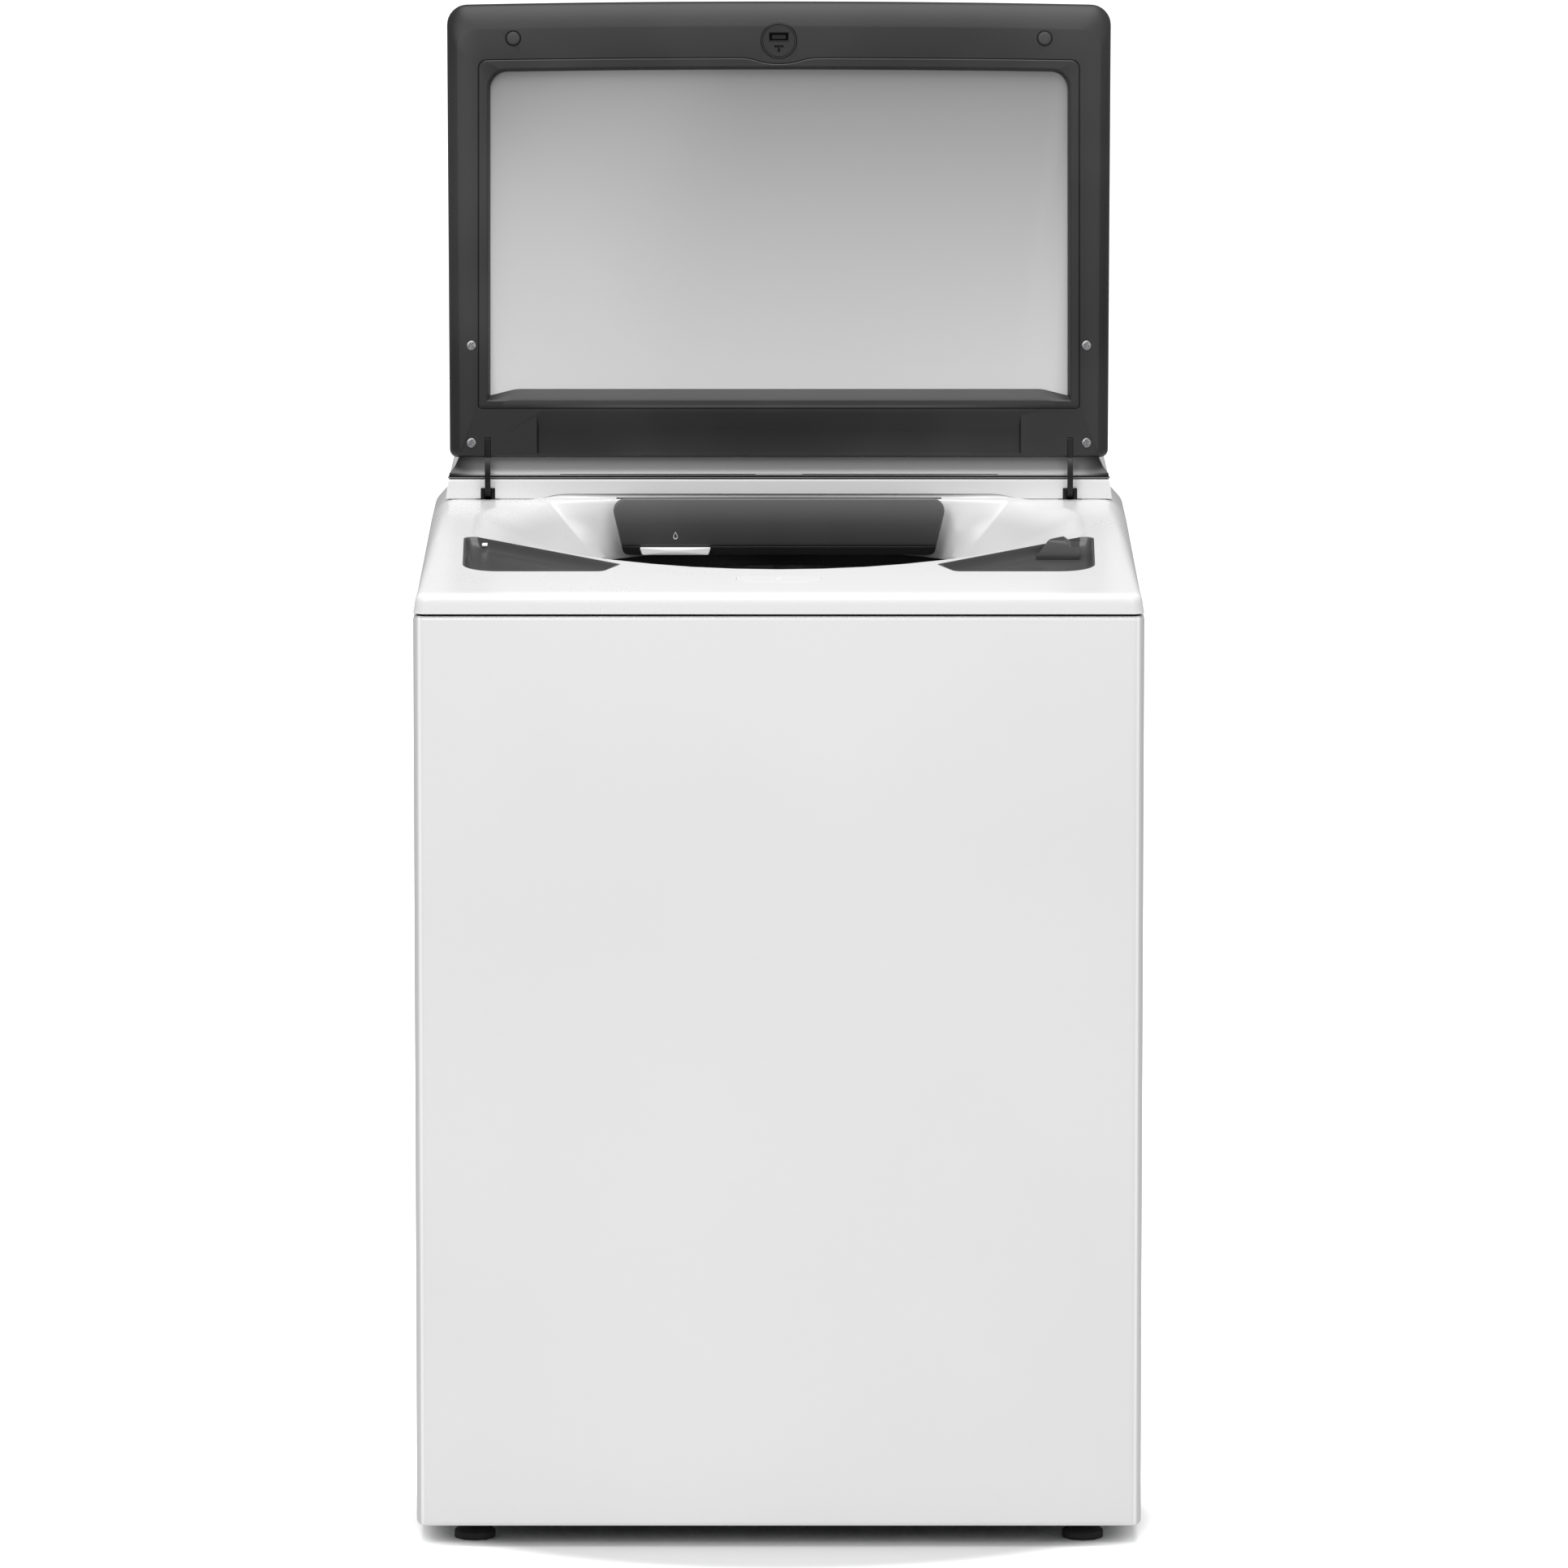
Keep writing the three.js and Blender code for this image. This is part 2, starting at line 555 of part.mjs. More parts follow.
function cabinetWrap() {
  const behind = CABINET_REAR + 1;
  const skin = prismZ(cabinetOutline(0, CABINET_REAR), CABINET_BOTTOM, CABINET_TOP, 4);
  const hollow = prismZ(cabinetOutline(SHEET, behind), CABINET_BOTTOM + SHEET, CABINET_TOP - SHEET, 4);
  const floor = prismZ(
    cabinetOutline(CABINET_FLANGE, behind), CABINET_BOTTOM - 1, CABINET_BOTTOM + SHEET + 1, 1);
  const half = HALF_WIDTH - CABINET_FLANGE;
  const near = FRONT + CABINET_FLANGE;
  const mouth = prismZ(symmetric([
    [HALF_WIDTH - GUSSET_LEG, near],
    [half, FRONT + GUSSET_LEG],
    [half, CABINET_REAR - GUSSET_LEG],
    [HALF_WIDTH - GUSSET_LEG, CABINET_REAR - CABINET_FLANGE],
    [HALF_WIDTH - GUSSET_LEG, behind],
  ]), CABINET_TOP - SHEET - 1, CABINET_TOP + 1);
  const holes = rodPlaces.map(([, x, y]) =>
    rod(ROD_RADIUS + RUNNING_GAP, CABINET_TOP - SHEET - 1, CABINET_TOP + 1, x, y, PIN_FACETS));
  return cut(skin, hollow, floor, mouth, ...holes);
}

/** A rounded outline for a service and, grown by a gap, for its hole in the panel. */
const serviceOutline = ([x, z, half, high], grow) =>
  rectangle(x - half - grow, x + half + grow, z - high - grow, z + high + grow, high * 0.6);

/** A solid of revolution about an axis that runs rearwards through (x, z) from y. */
function turnedBack(profile, segments, x, y, z) {
  const points = [...profile, profile[0]].map(([radius, height]) => new THREE.Vector2(radius, height));
  return solid(new THREE.LatheGeometry(points, segments).translate(x, y, z));
}

function rearPanel() {
  const edge = HALF_WIDTH - SHEET;
  const bead = (x, wall, y0, y1) => prismY(rectangle(
    x - BEAD_HALF + wall, x + BEAD_HALF - wall,
    CABINET_BOTTOM + BEAD_FOOT + wall, CABINET_TOP - BEAD_HEAD - wall, BEAD_RADIUS - wall), y0, y1, 3);
  const plate = prismY(rectangle(-edge, edge, CABINET_BOTTOM + SHEET, CABINET_TOP - SHEET, 6),
    PANEL_FRONT, PANEL_REAR, 2);
  const columns = [-BEAD_X, 0, BEAD_X];
  const beads = columns.map((x) => bead(x, 0, PANEL_FRONT + 1, PANEL_REAR + BEAD_HEIGHT));
  const grooves = columns.map((x) => bead(x, SHEET, PANEL_FRONT - 1, PANEL_REAR + BEAD_HEIGHT - SHEET));
  const ports = [VALVE, DRAIN_PORT, CORD_GLAND].map((service) =>
    prismY(serviceOutline(service, GAP), PANEL_FRONT - 1, PANEL_REAR + 1, 3));
  return cut(join(plate, ...beads), ...grooves, ...ports);
}

const footPlaces = [];
for (const [sideName, side] of sides) {
  footPlaces.push([`${sideName}_front`, side * (HALF_WIDTH - FOOT_INSET_X), FRONT + FOOT_INSET_Y]);
  footPlaces.push([`${sideName}_rear`, side * (HALF_WIDTH - FOOT_INSET_X), CABINET_REAR - FOOT_INSET_Y]);
}

function baseFrame() {
  const half = HALF_WIDTH - SHEET - GAP;
  const front = FRONT + SHEET + GAP;
  const rear = CABINET_REAR - GAP;
  const outline = cabinetOutline(SHEET + GAP, rear);
  const window = (grow) => {
    const x = half - BASE_RAIL + grow;
    const y0 = front + BASE_RAIL - grow;
    const y1 = rear - BASE_RAIL + grow;
    return symmetric([
      [x - BASE_CHAMFER, y0], [x, y0 + BASE_CHAMFER], [x, y1 - BASE_CHAMFER], [x - BASE_CHAMFER, y1],
    ]);
  };
  outline.holes.push(window(0));
  const plate = prismZ(outline, BASE_BOTTOM, BASE_TOP, 4);
  const trough = cabinetOutline(SHEET * 2 + GAP, rear - SHEET);
  trough.holes.push(window(SHEET));
  const hollow = prismZ(trough, BASE_BOTTOM + SHEET * 1.5, BASE_TOP + 1, 4);
  const bosses = footPlaces.map(([, x, y]) => rod(BASE_BOSS_RADIUS, BASE_BOTTOM, BASE_TOP, x, y, PIN_FACETS));
  const threads = footPlaces.map(([, x, y]) =>
    rod(FOOT_STEM_RADIUS + GAP, BASE_BOTTOM - 1, BASE_TOP + 1, x, y, PIN_FACETS));
  return cut(join(cut(plate, hollow), ...bosses), ...threads);
}

/** A rubber-soled foot on a threaded stem, with its lock nut. */
function levellingFoot(x, y) {
  const nutTop = BASE_BOTTOM - GAP;
  const pad = turned([
    [0, 0], [FOOT_RADIUS - 2, 0], [FOOT_RADIUS, 2], [FOOT_RADIUS, FOOT_SOLE],
    [FOOT_RADIUS - 5, FOOT_SOLE + 4], [FOOT_STEM_RADIUS, FOOT_SOLE + 6],
    [FOOT_STEM_RADIUS, FOOT_STEM_TOP], [0, FOOT_STEM_TOP],
  ], PIN_FACETS, x, y);
  const nut = turned(
    [[0, FOOT_SOLE + 8], [FOOT_NUT_RADIUS, FOOT_SOLE + 8], [FOOT_NUT_RADIUS, nutTop], [0, nutTop]], 6, x, y);
  return join(pad, nut);
}

place('cabinet_wrap', cabinetWrap(), whiteEnamel());
place('rear_panel', rearPanel(), galvanized());
place('base_frame', baseFrame(), galvanized());
for (const [name, x, y] of footPlaces) place(`leveling_foot_${name}`, levellingFoot(x, y), rubber());

// ---------------------------------------------------------------- deck

/** The deck's outer form, set in on all sides, down to a level. */
function deckForm(inset, bottom) {
  const stations = [0, 1, 3, DECK_ROLL, CABINET_CORNER, RISER_SETBACK, CABINET_DEPTH];
  const rear = CABINET_DEPTH - inset;
  const loops = stations.map((setback) => {
    const roll = Math.max(DECK_ROLL - setback, 0);
    const drop = DECK_ROLL - Math.sqrt(Math.max(DECK_ROLL ** 2 - roll ** 2, 0));
    const turn = Math.max(CABINET_CORNER - setback, 0);
    const tuck = CABINET_CORNER - Math.sqrt(Math.max(CABINET_CORNER ** 2 - turn ** 2, 0));
    const along = Math.min(setback / RISER_SETBACK, 1);
    const taper = THREE.MathUtils.lerp(DECK_FRONT_INSET, DECK_REAR_INSET, along);
    const half = HALF_WIDTH - inset - tuck;
    const top = deckLevel(Math.max(setback, DECK_ROLL)) - drop - inset;
    const y = fromFront(Math.min(setback + (setback < RISER_SETBACK ? inset : 0), rear));
    const edge = Math.min(DECK_ROLL, (top - bottom) / 2);
    const right = [
      [half, bottom], [half - taper * 0.25, Math.max(top - edge * 2.2, bottom + 0.5)],
      [half - taper, top - edge * 0.5], [half - taper - edge * 0.35, top - edge * 0.12],
      [half - taper - edge, top],
    ];
    const loop = [...right, ...right.map(([x, z]) => [-x, z]).reverse()];
    return loop.map(([x, z]) => new THREE.Vector3(x, z, y));
  });
  return standing(loft(loops));
}

/** Turns a loft made on (x, z, y) upright. */
function standing(body) {
  return body.rotate([90, 0, 0]).scale([1, -1, 1]);
}

/** The rim of the wash opening on the deck, in plan: an arc in front, straight shoulders, soft rear. */
function rimLoop(grow, level) {
  const centre = TUB_SETBACK - OPENING_RADIUS + RIM_ARC_RADIUS;
  const start = -Math.PI / 2;
  const end = -Math.acos(RIM_TURN_X / RIM_ARC_RADIUS);
  const path = new THREE.Path();
  path.absarc(0, fromFront(centre), RIM_ARC_RADIUS + grow, start, end, false);
  path.lineTo(RIM_CORNER_X + grow, fromFront(RIM_CORNER_SETBACK) - grow);
  const rearY = RISER_Y - RIM_REAR_GAP + grow;
  path.bezierCurveTo(
    RIM_CORNER_X + grow + RIM_BULGE, fromFront(RIM_CORNER_SETBACK + RIM_BULGE * 7.5),
    RIM_REAR_X + grow + RIM_BULGE * 5, rearY, RIM_REAR_X + grow, rearY);
  for (const part of [0.75, 0.5, 0.25]) path.lineTo((RIM_REAR_X + grow) * part, rearY);
  const half = path.getPoints(6);
  const right = half.filter((point, i) => i === 0 || point.distanceTo(half[i - 1]) > 0.5).slice(1);
  const loop = [half[0], ...right, ...right.map((point) => new THREE.Vector2(-point.x, point.y)).reverse()];
  return loop.map((point) => new THREE.Vector3(point.x, point.y, level(point.y)));
}

/** The bowl between the rim and the round opening below it. */
function bowl(grow, above, below) {
  const surface = (y) => deckLevel(y - FRONT);
  const rim = rimLoop(grow, surface);
  const high = rim.map((point) => point.clone().setZ(point.z + above));
  const ring = rim.map((point) => {
    const angle = Math.atan2(point.y - TUB_Y, point.x);
    const radius = OPENING_RADIUS + grow;
    return new THREE.Vector3(radius * Math.cos(angle), TUB_Y + radius * Math.sin(angle), OPENING_LEVEL);
  });
  const low = ring.map((point) => point.clone().setZ(OPENING_LEVEL - below));
  return loft([low, ring, rim, high].filter((loop, i) => i < 3 || above > 0));
}

const CHANNEL_REAR = DISPENSER_SETBACK + DISPENSER_LENGTH + 4;
const ROOF_SETBACK = RISER_SETBACK - 1.5;
const ROOF_LEVEL = SEAM + 1.7;

/** The dispenser's channel: a trough with sloping sides, grown by a wall. */
function channel(grow, setback0, setback1, top) {
  const slope = (NICHE_TOP_HALF - NICHE_BOTTOM_HALF) / (SEAM - DISPENSER_BOTTOM + GAP);
  const bottom = DISPENSER_BOTTOM - GAP - grow;
  const side = grow * Math.hypot(1, slope);
  const lowHalf = NICHE_BOTTOM_HALF + side - grow * slope;
  const highHalf = lowHalf + slope * (top - bottom);
  const outline = roundedOutline([
    [-lowHalf, bottom, 3], [lowHalf, bottom, 3], [highHalf, top], [-highHalf, top],
  ]);
  return prismY(outline, fromFront(setback0), fromFront(setback1), 2);
}

/** The seam under the console: it steps up over the dispenser in an S. */
function seamLine(level, rise) {
  const outer = SEAM_STEP_X + SEAM_RUN;
  const inner = SEAM_STEP_X - SEAM_RUN;
  return [
    [-outer, level, 0], [-SEAM_STEP_X, level, SEAM_RUN], [-inner, level + rise, SEAM_RUN],
    [inner, level + rise, SEAM_RUN], [SEAM_STEP_X, level, SEAM_RUN], [outer, level, 0],
  ];
}

/** A tray's outline in plan, on one side, set in by a wall. */
function trayOutline(side, inset) {
  const slant = inset * 1.4;
  const corners = [
    [TRAY_OUTER_X - 1 - inset, fromFront(TRAY_REAR_SETBACK) - slant * 1.6, 14],
    [TRAY_OUTER_X - 14 - inset * 0.4, fromFront(TRAY_REAR_SETBACK) - slant * 1.2, 10],
    [TRAY_TIP_X + slant * 1.4, fromFront(TRAY_TIP_SETBACK), 6],
    [TRAY_TIP_X + 17 + slant * 0.4, fromFront(TRAY_FRONT_SETBACK) + inset, 10],
    [TRAY_OUTER_X - 4 - inset, fromFront(TRAY_FRONT_SETBACK) + inset, TRAY_FRONT_CORNER],
  ];
  return roundedOutline(corners.map(([x, y, radius]) => [side * x, y, radius]));
}

/** Tilts a piece that was made flat at z = 0 onto the deck's plane. */
function onDeck(body) {
  const degrees = THREE.MathUtils.radToDeg(DECK_SLOPE);
  return body.translate([0, -fromFront(DECK_ROLL), 0]).rotate([degrees, 0, 0])
    .translate([0, fromFront(DECK_ROLL), DECK_BOTTOM + DECK_SKIRT]);
}

const stadium = (halfLength, halfWidth, y) =>
  rectangle(-halfLength, halfLength, y - halfWidth, y + halfWidth, halfWidth * 1.1);

const HINGE_ALONG_DECK = DECK_ROLL + (RISER_SETBACK + HINGE_BEHIND_RISER - DECK_ROLL) * Math.cos(DECK_SLOPE)
  + (HINGE.z - DECK_BOTTOM - DECK_SKIRT) * Math.sin(DECK_SLOPE);
const LOCK_SETBACK = HINGE_ALONG_DECK - LID_SETFORWARD - CATCH_FROM_REAR;
const GUIDE_FRONT = fromFront(RISER_SETBACK - 1.4);

function topDeck() {
  const shell = cut(deckForm(0, DECK_BOTTOM), deckForm(DECK_WALL, DECK_BOTTOM - 1));
  const envelope = deckForm(0, OPENING_LEVEL - 30);
  const trayWells = sides.map(([, side]) =>
    onDeck(prismZ(trayOutline(side, -DECK_WALL), -TRAY_DEPTH * 0.4, 0, 4)));
  const roof = prismY(roundedOutline([
    ...seamLine(SEAM - 0.5, SEAM_RISE + 0.5),
    [SEAM_STEP_X + SEAM_RUN, SEAM - DECK_WALL], [-SEAM_STEP_X - SEAM_RUN, SEAM - DECK_WALL],
  ]), fromFront(ROOF_SETBACK), fromFront(CHANNEL_REAR + DECK_WALL), 4);
  const seat = prismZ(seatOutline(), CABINET_TOP + GAP, DECK_BOTTOM + DECK_SKIRT * 0.5, 3);
  const bowlWall = bowl(DECK_WALL, 0, DECK_WALL);
  const trough = channel(DECK_WALL, NICHE_FRONT, CHANNEL_REAR + DECK_WALL, SEAM);
  const walls = common(envelope, join(bowlWall, trough, ...trayWells));
  const lockHole = onDeck(prismZ(
    stadium(LOCK_HALF_LENGTH + GAP, LOCK_HALF_WIDTH + GAP, fromFront(LOCK_SETBACK)), -10, 10, 5));
  const hingePockets = sides.map(([, side]) =>
    box(side * ARM_X - 12, side * ARM_X + 12, GUIDE_FRONT - GAP, HINGE.y + BRACKET_REAR + 1,
      SEAM - 8, SEAM + SEAM_RISE + 1));
  return cut(
    join(shell, walls, seat, roof),
    bowl(0, 20, DECK_WALL + 1),
    channel(0, NICHE_FRONT - 1, ROOF_SETBACK, SEAM + 12),
    channel(0, ROOF_SETBACK - 1, CHANNEL_REAR, ROOF_LEVEL),
    ...sides.map(([, side]) => onDeck(prismZ(trayOutline(side, -GAP), -TRAY_DEPTH - 10, 20, 4))),
    lockHole,
    ...hingePockets,
  );
}

/** A ring inside the skirt that stands on the cabinet's flange. */
function seatOutline() {
  const inset = DECK_WALL * 0.9;
  const outline = cabinetOutline(inset, CABINET_REAR - inset);
  outline.holes.push(cabinetOutline(inset + DECK_WALL, CABINET_REAR - inset - DECK_WALL));
  return outline;
}

/** A tray: a shallow open cup on the outline of the opening's shoulder. */
function tray(side) {
  const body = prismZ(trayOutline(side, 0), -TRAY_DEPTH, 0, 4);
  const floor = -TRAY_DEPTH + TRAY_WALL;
  const hollow = loft([[TRAY_WALL + 9, floor], [TRAY_WALL + 4, -TRAY_DEPTH * 0.45], [TRAY_WALL, 0.5]].map(
    ([inset, z]) => trayOutline(side, inset).getPoints(4).slice(0, -1)
      .map((point) => new THREE.Vector3(point.x, point.y, z))));
  return onDeck(cut(body, hollow));
}

place('top_deck', topDeck(), whitePlastic());
place('softener_tray', tray(-1), greyPlastic());
place('brush_tray', tray(1), greyPlastic());

// ---------------------------------------------------------------- dispenser

const SLEEVE_TOP = ROOF_LEVEL - GAP;
const BAND_TOP = DISPENSER_BOTTOM + SPOUT_BAND;
const dispenserHalf = (z) => THREE.MathUtils.mapLinear(
  z, DISPENSER_BOTTOM, DISPENSER_TOP, DISPENSER_BOTTOM_HALF, DISPENSER_TOP_HALF);

function dispenserOutline(inset, bottom, top, lowRadius, topRadius) {
  const low = dispenserHalf(bottom) - inset;
  const high = dispenserHalf(top) - inset;
  return roundedOutline([
    [-low, bottom, lowRadius], [low, bottom, lowRadius], [high, top, topRadius], [-high, top, topRadius],
  ]);
}

function spoutOutline(grow) {
  const low = DISPENSER_BOTTOM + 1 - grow;
  const high = BAND_TOP - 1 + grow;
  const half = SPOUT_HALF + grow;
  return roundedOutline([
    [SPOUT_X - half + 5, low, 2], [SPOUT_X + half - 5, low, 2],
    [SPOUT_X + half, high], [SPOUT_X - half, high],
  ]);
}

const PANEL_BACK = fromFront(DISPENSER_SETBACK + DISPENSER_PANEL);

function dispenserHousing() {
  const rear = fromFront(DISPENSER_SETBACK + DISPENSER_LENGTH);
  const front = PANEL_BACK + GAP;
  const sleeve = prismY(dispenserOutline(1, DISPENSER_BOTTOM, SLEEVE_TOP, 5, 3), front, rear, 3);
  const hollow = prismY(dispenserOutline(
    1 + DISPENSER_WALL, DISPENSER_BOTTOM + DISPENSER_WALL, SLEEVE_TOP - DISPENSER_WALL, 4, 2),
  front - 1, rear - DISPENSER_WALL, 3);
  const runners = sides.map(([, side]) => box(
    side * RUNNER_X - RUNNER_HALF, side * RUNNER_X + RUNNER_HALF, front, rear - 1,
    DISPENSER_BOTTOM + DISPENSER_WALL * 0.5, BAND_TOP));
  const band = prismY(dispenserOutline(0, DISPENSER_BOTTOM, BAND_TOP, 6, 0), PANEL_BACK - DISPENSER_PANEL + 1,
    front + 2, 3);
  const pocket = prismY(spoutOutline(GAP * 1.5), PANEL_BACK - DISPENSER_PANEL, PANEL_BACK, 2);
  return cut(join(cut(sleeve, hollow), ...runners, band), pocket);
}

function dispenserDrawer() {
  const bottom = BAND_TOP + GAP;
  const panel = prismY(dispenserOutline(0, bottom, DISPENSER_TOP, 2, 14), PANEL_BACK - DISPENSER_PANEL,
    PANEL_BACK, 5);
  const half = dispenserHalf(DISPENSER_BOTTOM) - DISPENSER_WALL - 10;
  const top = SLEEVE_TOP - DISPENSER_WALL - 3;
  const rear = fromFront(DISPENSER_SETBACK + DISPENSER_LENGTH) - DISPENSER_WALL - 4;
  const tank = prismZ(rectangle(-half, half, PANEL_BACK - 2, rear, 8), bottom, top, 3);
  const hollow = prismZ(rectangle(-half + DISPENSER_WALL, half - DISPENSER_WALL, PANEL_BACK + 1,
    rear - DISPENSER_WALL, 6), bottom + DISPENSER_WALL, top + 1, 3);
  return join(panel, cut(tank, hollow));
}

function faucetSpout() {
  const front = PANEL_BACK - DISPENSER_PANEL - SPOUT_REACH;
  const body = prismY(spoutOutline(0), front, PANEL_BACK - GAP, 2);
  const throat = box(SPOUT_X - SPOUT_HALF + 8, SPOUT_X + SPOUT_HALF - 8, front + 2, PANEL_BACK - 3,
    DISPENSER_BOTTOM, BAND_TOP - 4);
  return cut(body, throat);
}

place('dispenser_housing', dispenserHousing(), darkPlastic());
place('dispenser_drawer', dispenserDrawer(), darkPlastic());
place('faucet_spout', faucetSpout(), whitePlastic());

// ---------------------------------------------------------------- console

const FASCIA_LENGTH = (CONSOLE_TOP - FASCIA_BOTTOM) / Math.cos(FASCIA_LEAN);
const FASCIA_TOP_LIP = 8;

/** A point on the fascia: so far up its face, so far behind it. */
function onFascia(up, behind) {
  return [
    RISER_Y + up * Math.sin(FASCIA_LEAN) + behind * Math.cos(FASCIA_LEAN),
    FASCIA_BOTTOM + up * Math.cos(FASCIA_LEAN) - behind * Math.sin(FASCIA_LEAN),
  ];
}

/** The console's front outline, set in by a wall; its lower edge follows the seam. */
function consoleOutline(inset, bottom, rise) {
  const half = (z) => {
    const t = (z - FASCIA_BOTTOM) / (CONSOLE_TOP - FASCIA_BOTTOM);
    return THREE.MathUtils.lerp(CONSOLE_HALF_LIP, CONSOLE_HALF_TOP, Math.pow(Math.max(t, 0), 0.72)) - inset;
  };
  const levels = [0, 0.08, 0.2, 0.4, 0.7, 1].map((t) => THREE.MathUtils.lerp(FASCIA_BOTTOM, CONSOLE_TOP, t));
  const right = [
    [CONSOLE_HALF_LOW + 1.5 - inset, bottom], [CONSOLE_HALF_LOW - inset, RISER_TOP - 8],
    ...levels.map((z) => [half(z), z + (z === CONSOLE_TOP ? 1 : 0)]),
  ];
  const left = right.map(([x, z]) => [-x, z]).reverse();
  const seam = rise ? seamLine(bottom, rise) : [];
  return roundedOutline([...right, ...left, ...seam]);
}

function consoleHousing() {
  const foot = SEAM - 1;
  const recess = FASCIA_THICKNESS + GAP;
  const skin = prismX(roundedOutline([
    [RISER_Y, foot], [RISER_Y, RISER_TOP, 2], [RISER_Y + 5, RISER_TOP + 0.5], onFascia(0.5, recess),
    onFascia(FASCIA_LENGTH - FASCIA_TOP_LIP, recess), onFascia(FASCIA_LENGTH - FASCIA_TOP_LIP, 0),
    [...onFascia(FASCIA_LENGTH, 0), 6],
    [CONSOLE_REAR - 8, CONSOLE_TOP - 6, 12], [CONSOLE_REAR, CONSOLE_TOP - 30, 8],
    [CONSOLE_REAR, SEAM + 20, 6], [CABINET_REAR + 4, SEAM + GAP + 1], [CABINET_REAR, foot],
  ]), -HALF_WIDTH, HALF_WIDTH, 3);
  const wall = CONSOLE_WALL;
  const hollow = prismX(roundedOutline([
    [RISER_Y + wall, foot - 5], [RISER_Y + wall, RISER_TOP - wall], [RISER_Y + 5 + wall, RISER_TOP - wall],
    onFascia(4, recess + wall), onFascia(FASCIA_LENGTH - FASCIA_TOP_LIP - 4, recess + wall),
    [onFascia(FASCIA_LENGTH, 0)[0] + 6, CONSOLE_TOP - wall], [CONSOLE_REAR - 10, CONSOLE_TOP - 6 - wall, 8],
    [CONSOLE_REAR - wall, CONSOLE_TOP - 32], [CONSOLE_REAR - wall, SEAM + 22 + wall],
    [CABINET_REAR - wall, SEAM + 4 + wall], [CABINET_REAR - wall, foot - 5],
  ]), -HALF_WIDTH, HALF_WIDTH, 3);
  const outer = prismY(consoleOutline(0, SEAM + GAP, SEAM_RISE), RISER_Y - 1, CONSOLE_REAR + 1, 4);
  const inner = prismY(consoleOutline(wall, foot - 6, 0), RISER_Y - 1, CONSOLE_REAR + 1, 2);
  const windows = sides.map(([, side]) => box(
    side * ARM_X - GUIDE_HALF - GAP, side * ARM_X + GUIDE_HALF + GAP,
    RISER_Y - 1, RISER_Y + wall + 1, foot - 1, SEAM + GUIDE_TOP + GAP));
  const hingeRoom = sides.map(([, side]) => turnedX(8, side * ARM_X, 8.5));
  const [bayLow, bayHigh] = [BOARD_BAY_INSET, FASCIA_LENGTH - BOARD_BAY_INSET];
  const behindControls = prismX(roundedOutline([
    onFascia(bayLow, 0), onFascia(bayHigh, 0),
    onFascia(bayHigh, BOARD_BAY_DEPTH), onFascia(bayLow, BOARD_BAY_DEPTH),
  ]), -BOARD_BAY_HALF, BOARD_BAY_HALF);
  return cut(common(skin, outer), common(hollow, inner), ...windows, ...hingeRoom, behindControls);
}

/** A short cylinder across the machine, on the hinge axis. */
function turnedX(radius, x, half, segments = 16) {
  const geometry = new THREE.CylinderGeometry(radius, radius, half * 2, segments).rotateZ(Math.PI / 2);
  return solid(geometry.translate(x, HINGE.y, HINGE.z));
}

/** A piece made on the fascia's face (x across, y up the face, z out of it) is put in its place. */
function onFasciaFace(body, up) {
  const [y, z] = onFascia(up, 0);
  return body.rotate([90 - THREE.MathUtils.radToDeg(FASCIA_LEAN), 0, 0]).translate([0, y, z]);
}

const CONTROL_UP = FASCIA_LENGTH * 0.68;

function controlFascia() {
  const plate = prismX(roundedOutline([
    onFascia(0, 0), onFascia(FASCIA_LENGTH - FASCIA_TOP_LIP - GAP, 0),
    onFascia(FASCIA_LENGTH - FASCIA_TOP_LIP - GAP, FASCIA_THICKNESS), onFascia(0, FASCIA_THICKNESS),
  ]), -HALF_WIDTH, HALF_WIDTH);
  const ends = prismY(consoleOutline(0, SEAM + GAP, 0), RISER_Y - 5, CONSOLE_REAR, 4);
  const holes = [
    [KNOB_X, KNOB_SHAFT_RADIUS + RUNNING_GAP], [POWER_BUTTON_X, BUTTON_RADIUS + RUNNING_GAP],
    [START_BUTTON_X, BUTTON_RADIUS + RUNNING_GAP],
  ].map(([x, radius]) => onFasciaFace(rod(radius, -FASCIA_THICKNESS - 1, 1, x, 0, ROUND_FACETS), CONTROL_UP));
  return cut(common(plate, ends), ...holes);
}

function controlBoard() {
  const top = -BOARD_DEPTH;
  const board = box(-BOARD_HALF_LENGTH, BOARD_HALF_LENGTH, -BOARD_HALF_WIDTH, BOARD_HALF_WIDTH, top - 2, top);
  const x = BOARD_HALF_LENGTH - BOARD_POST_INSET;
  const y = BOARD_HALF_WIDTH - BOARD_POST_INSET;
  const posts = [[-x, -y], [x, -y], [x, y], [-x, y]].map((corner) =>
    rod(BOARD_POST_RADIUS, top - 1, -FASCIA_THICKNESS - GAP, ...corner, 8));
  const encoder = box(KNOB_X - 7, KNOB_X + 7, -7, 7, top - 1, -KNOB_SHAFT_LENGTH - GAP);
  const switchTop = -FASCIA_THICKNESS - GAP * 2 - BUTTON_FLANGE - BUTTON_TRAVEL;
  const switches = [POWER_BUTTON_X, START_BUTTON_X].map((button) =>
    box(button - 4, button + 4, -4, 4, top - 1, switchTop));
  return onFasciaFace(join(board, ...posts, encoder, ...switches), CONTROL_UP);
}

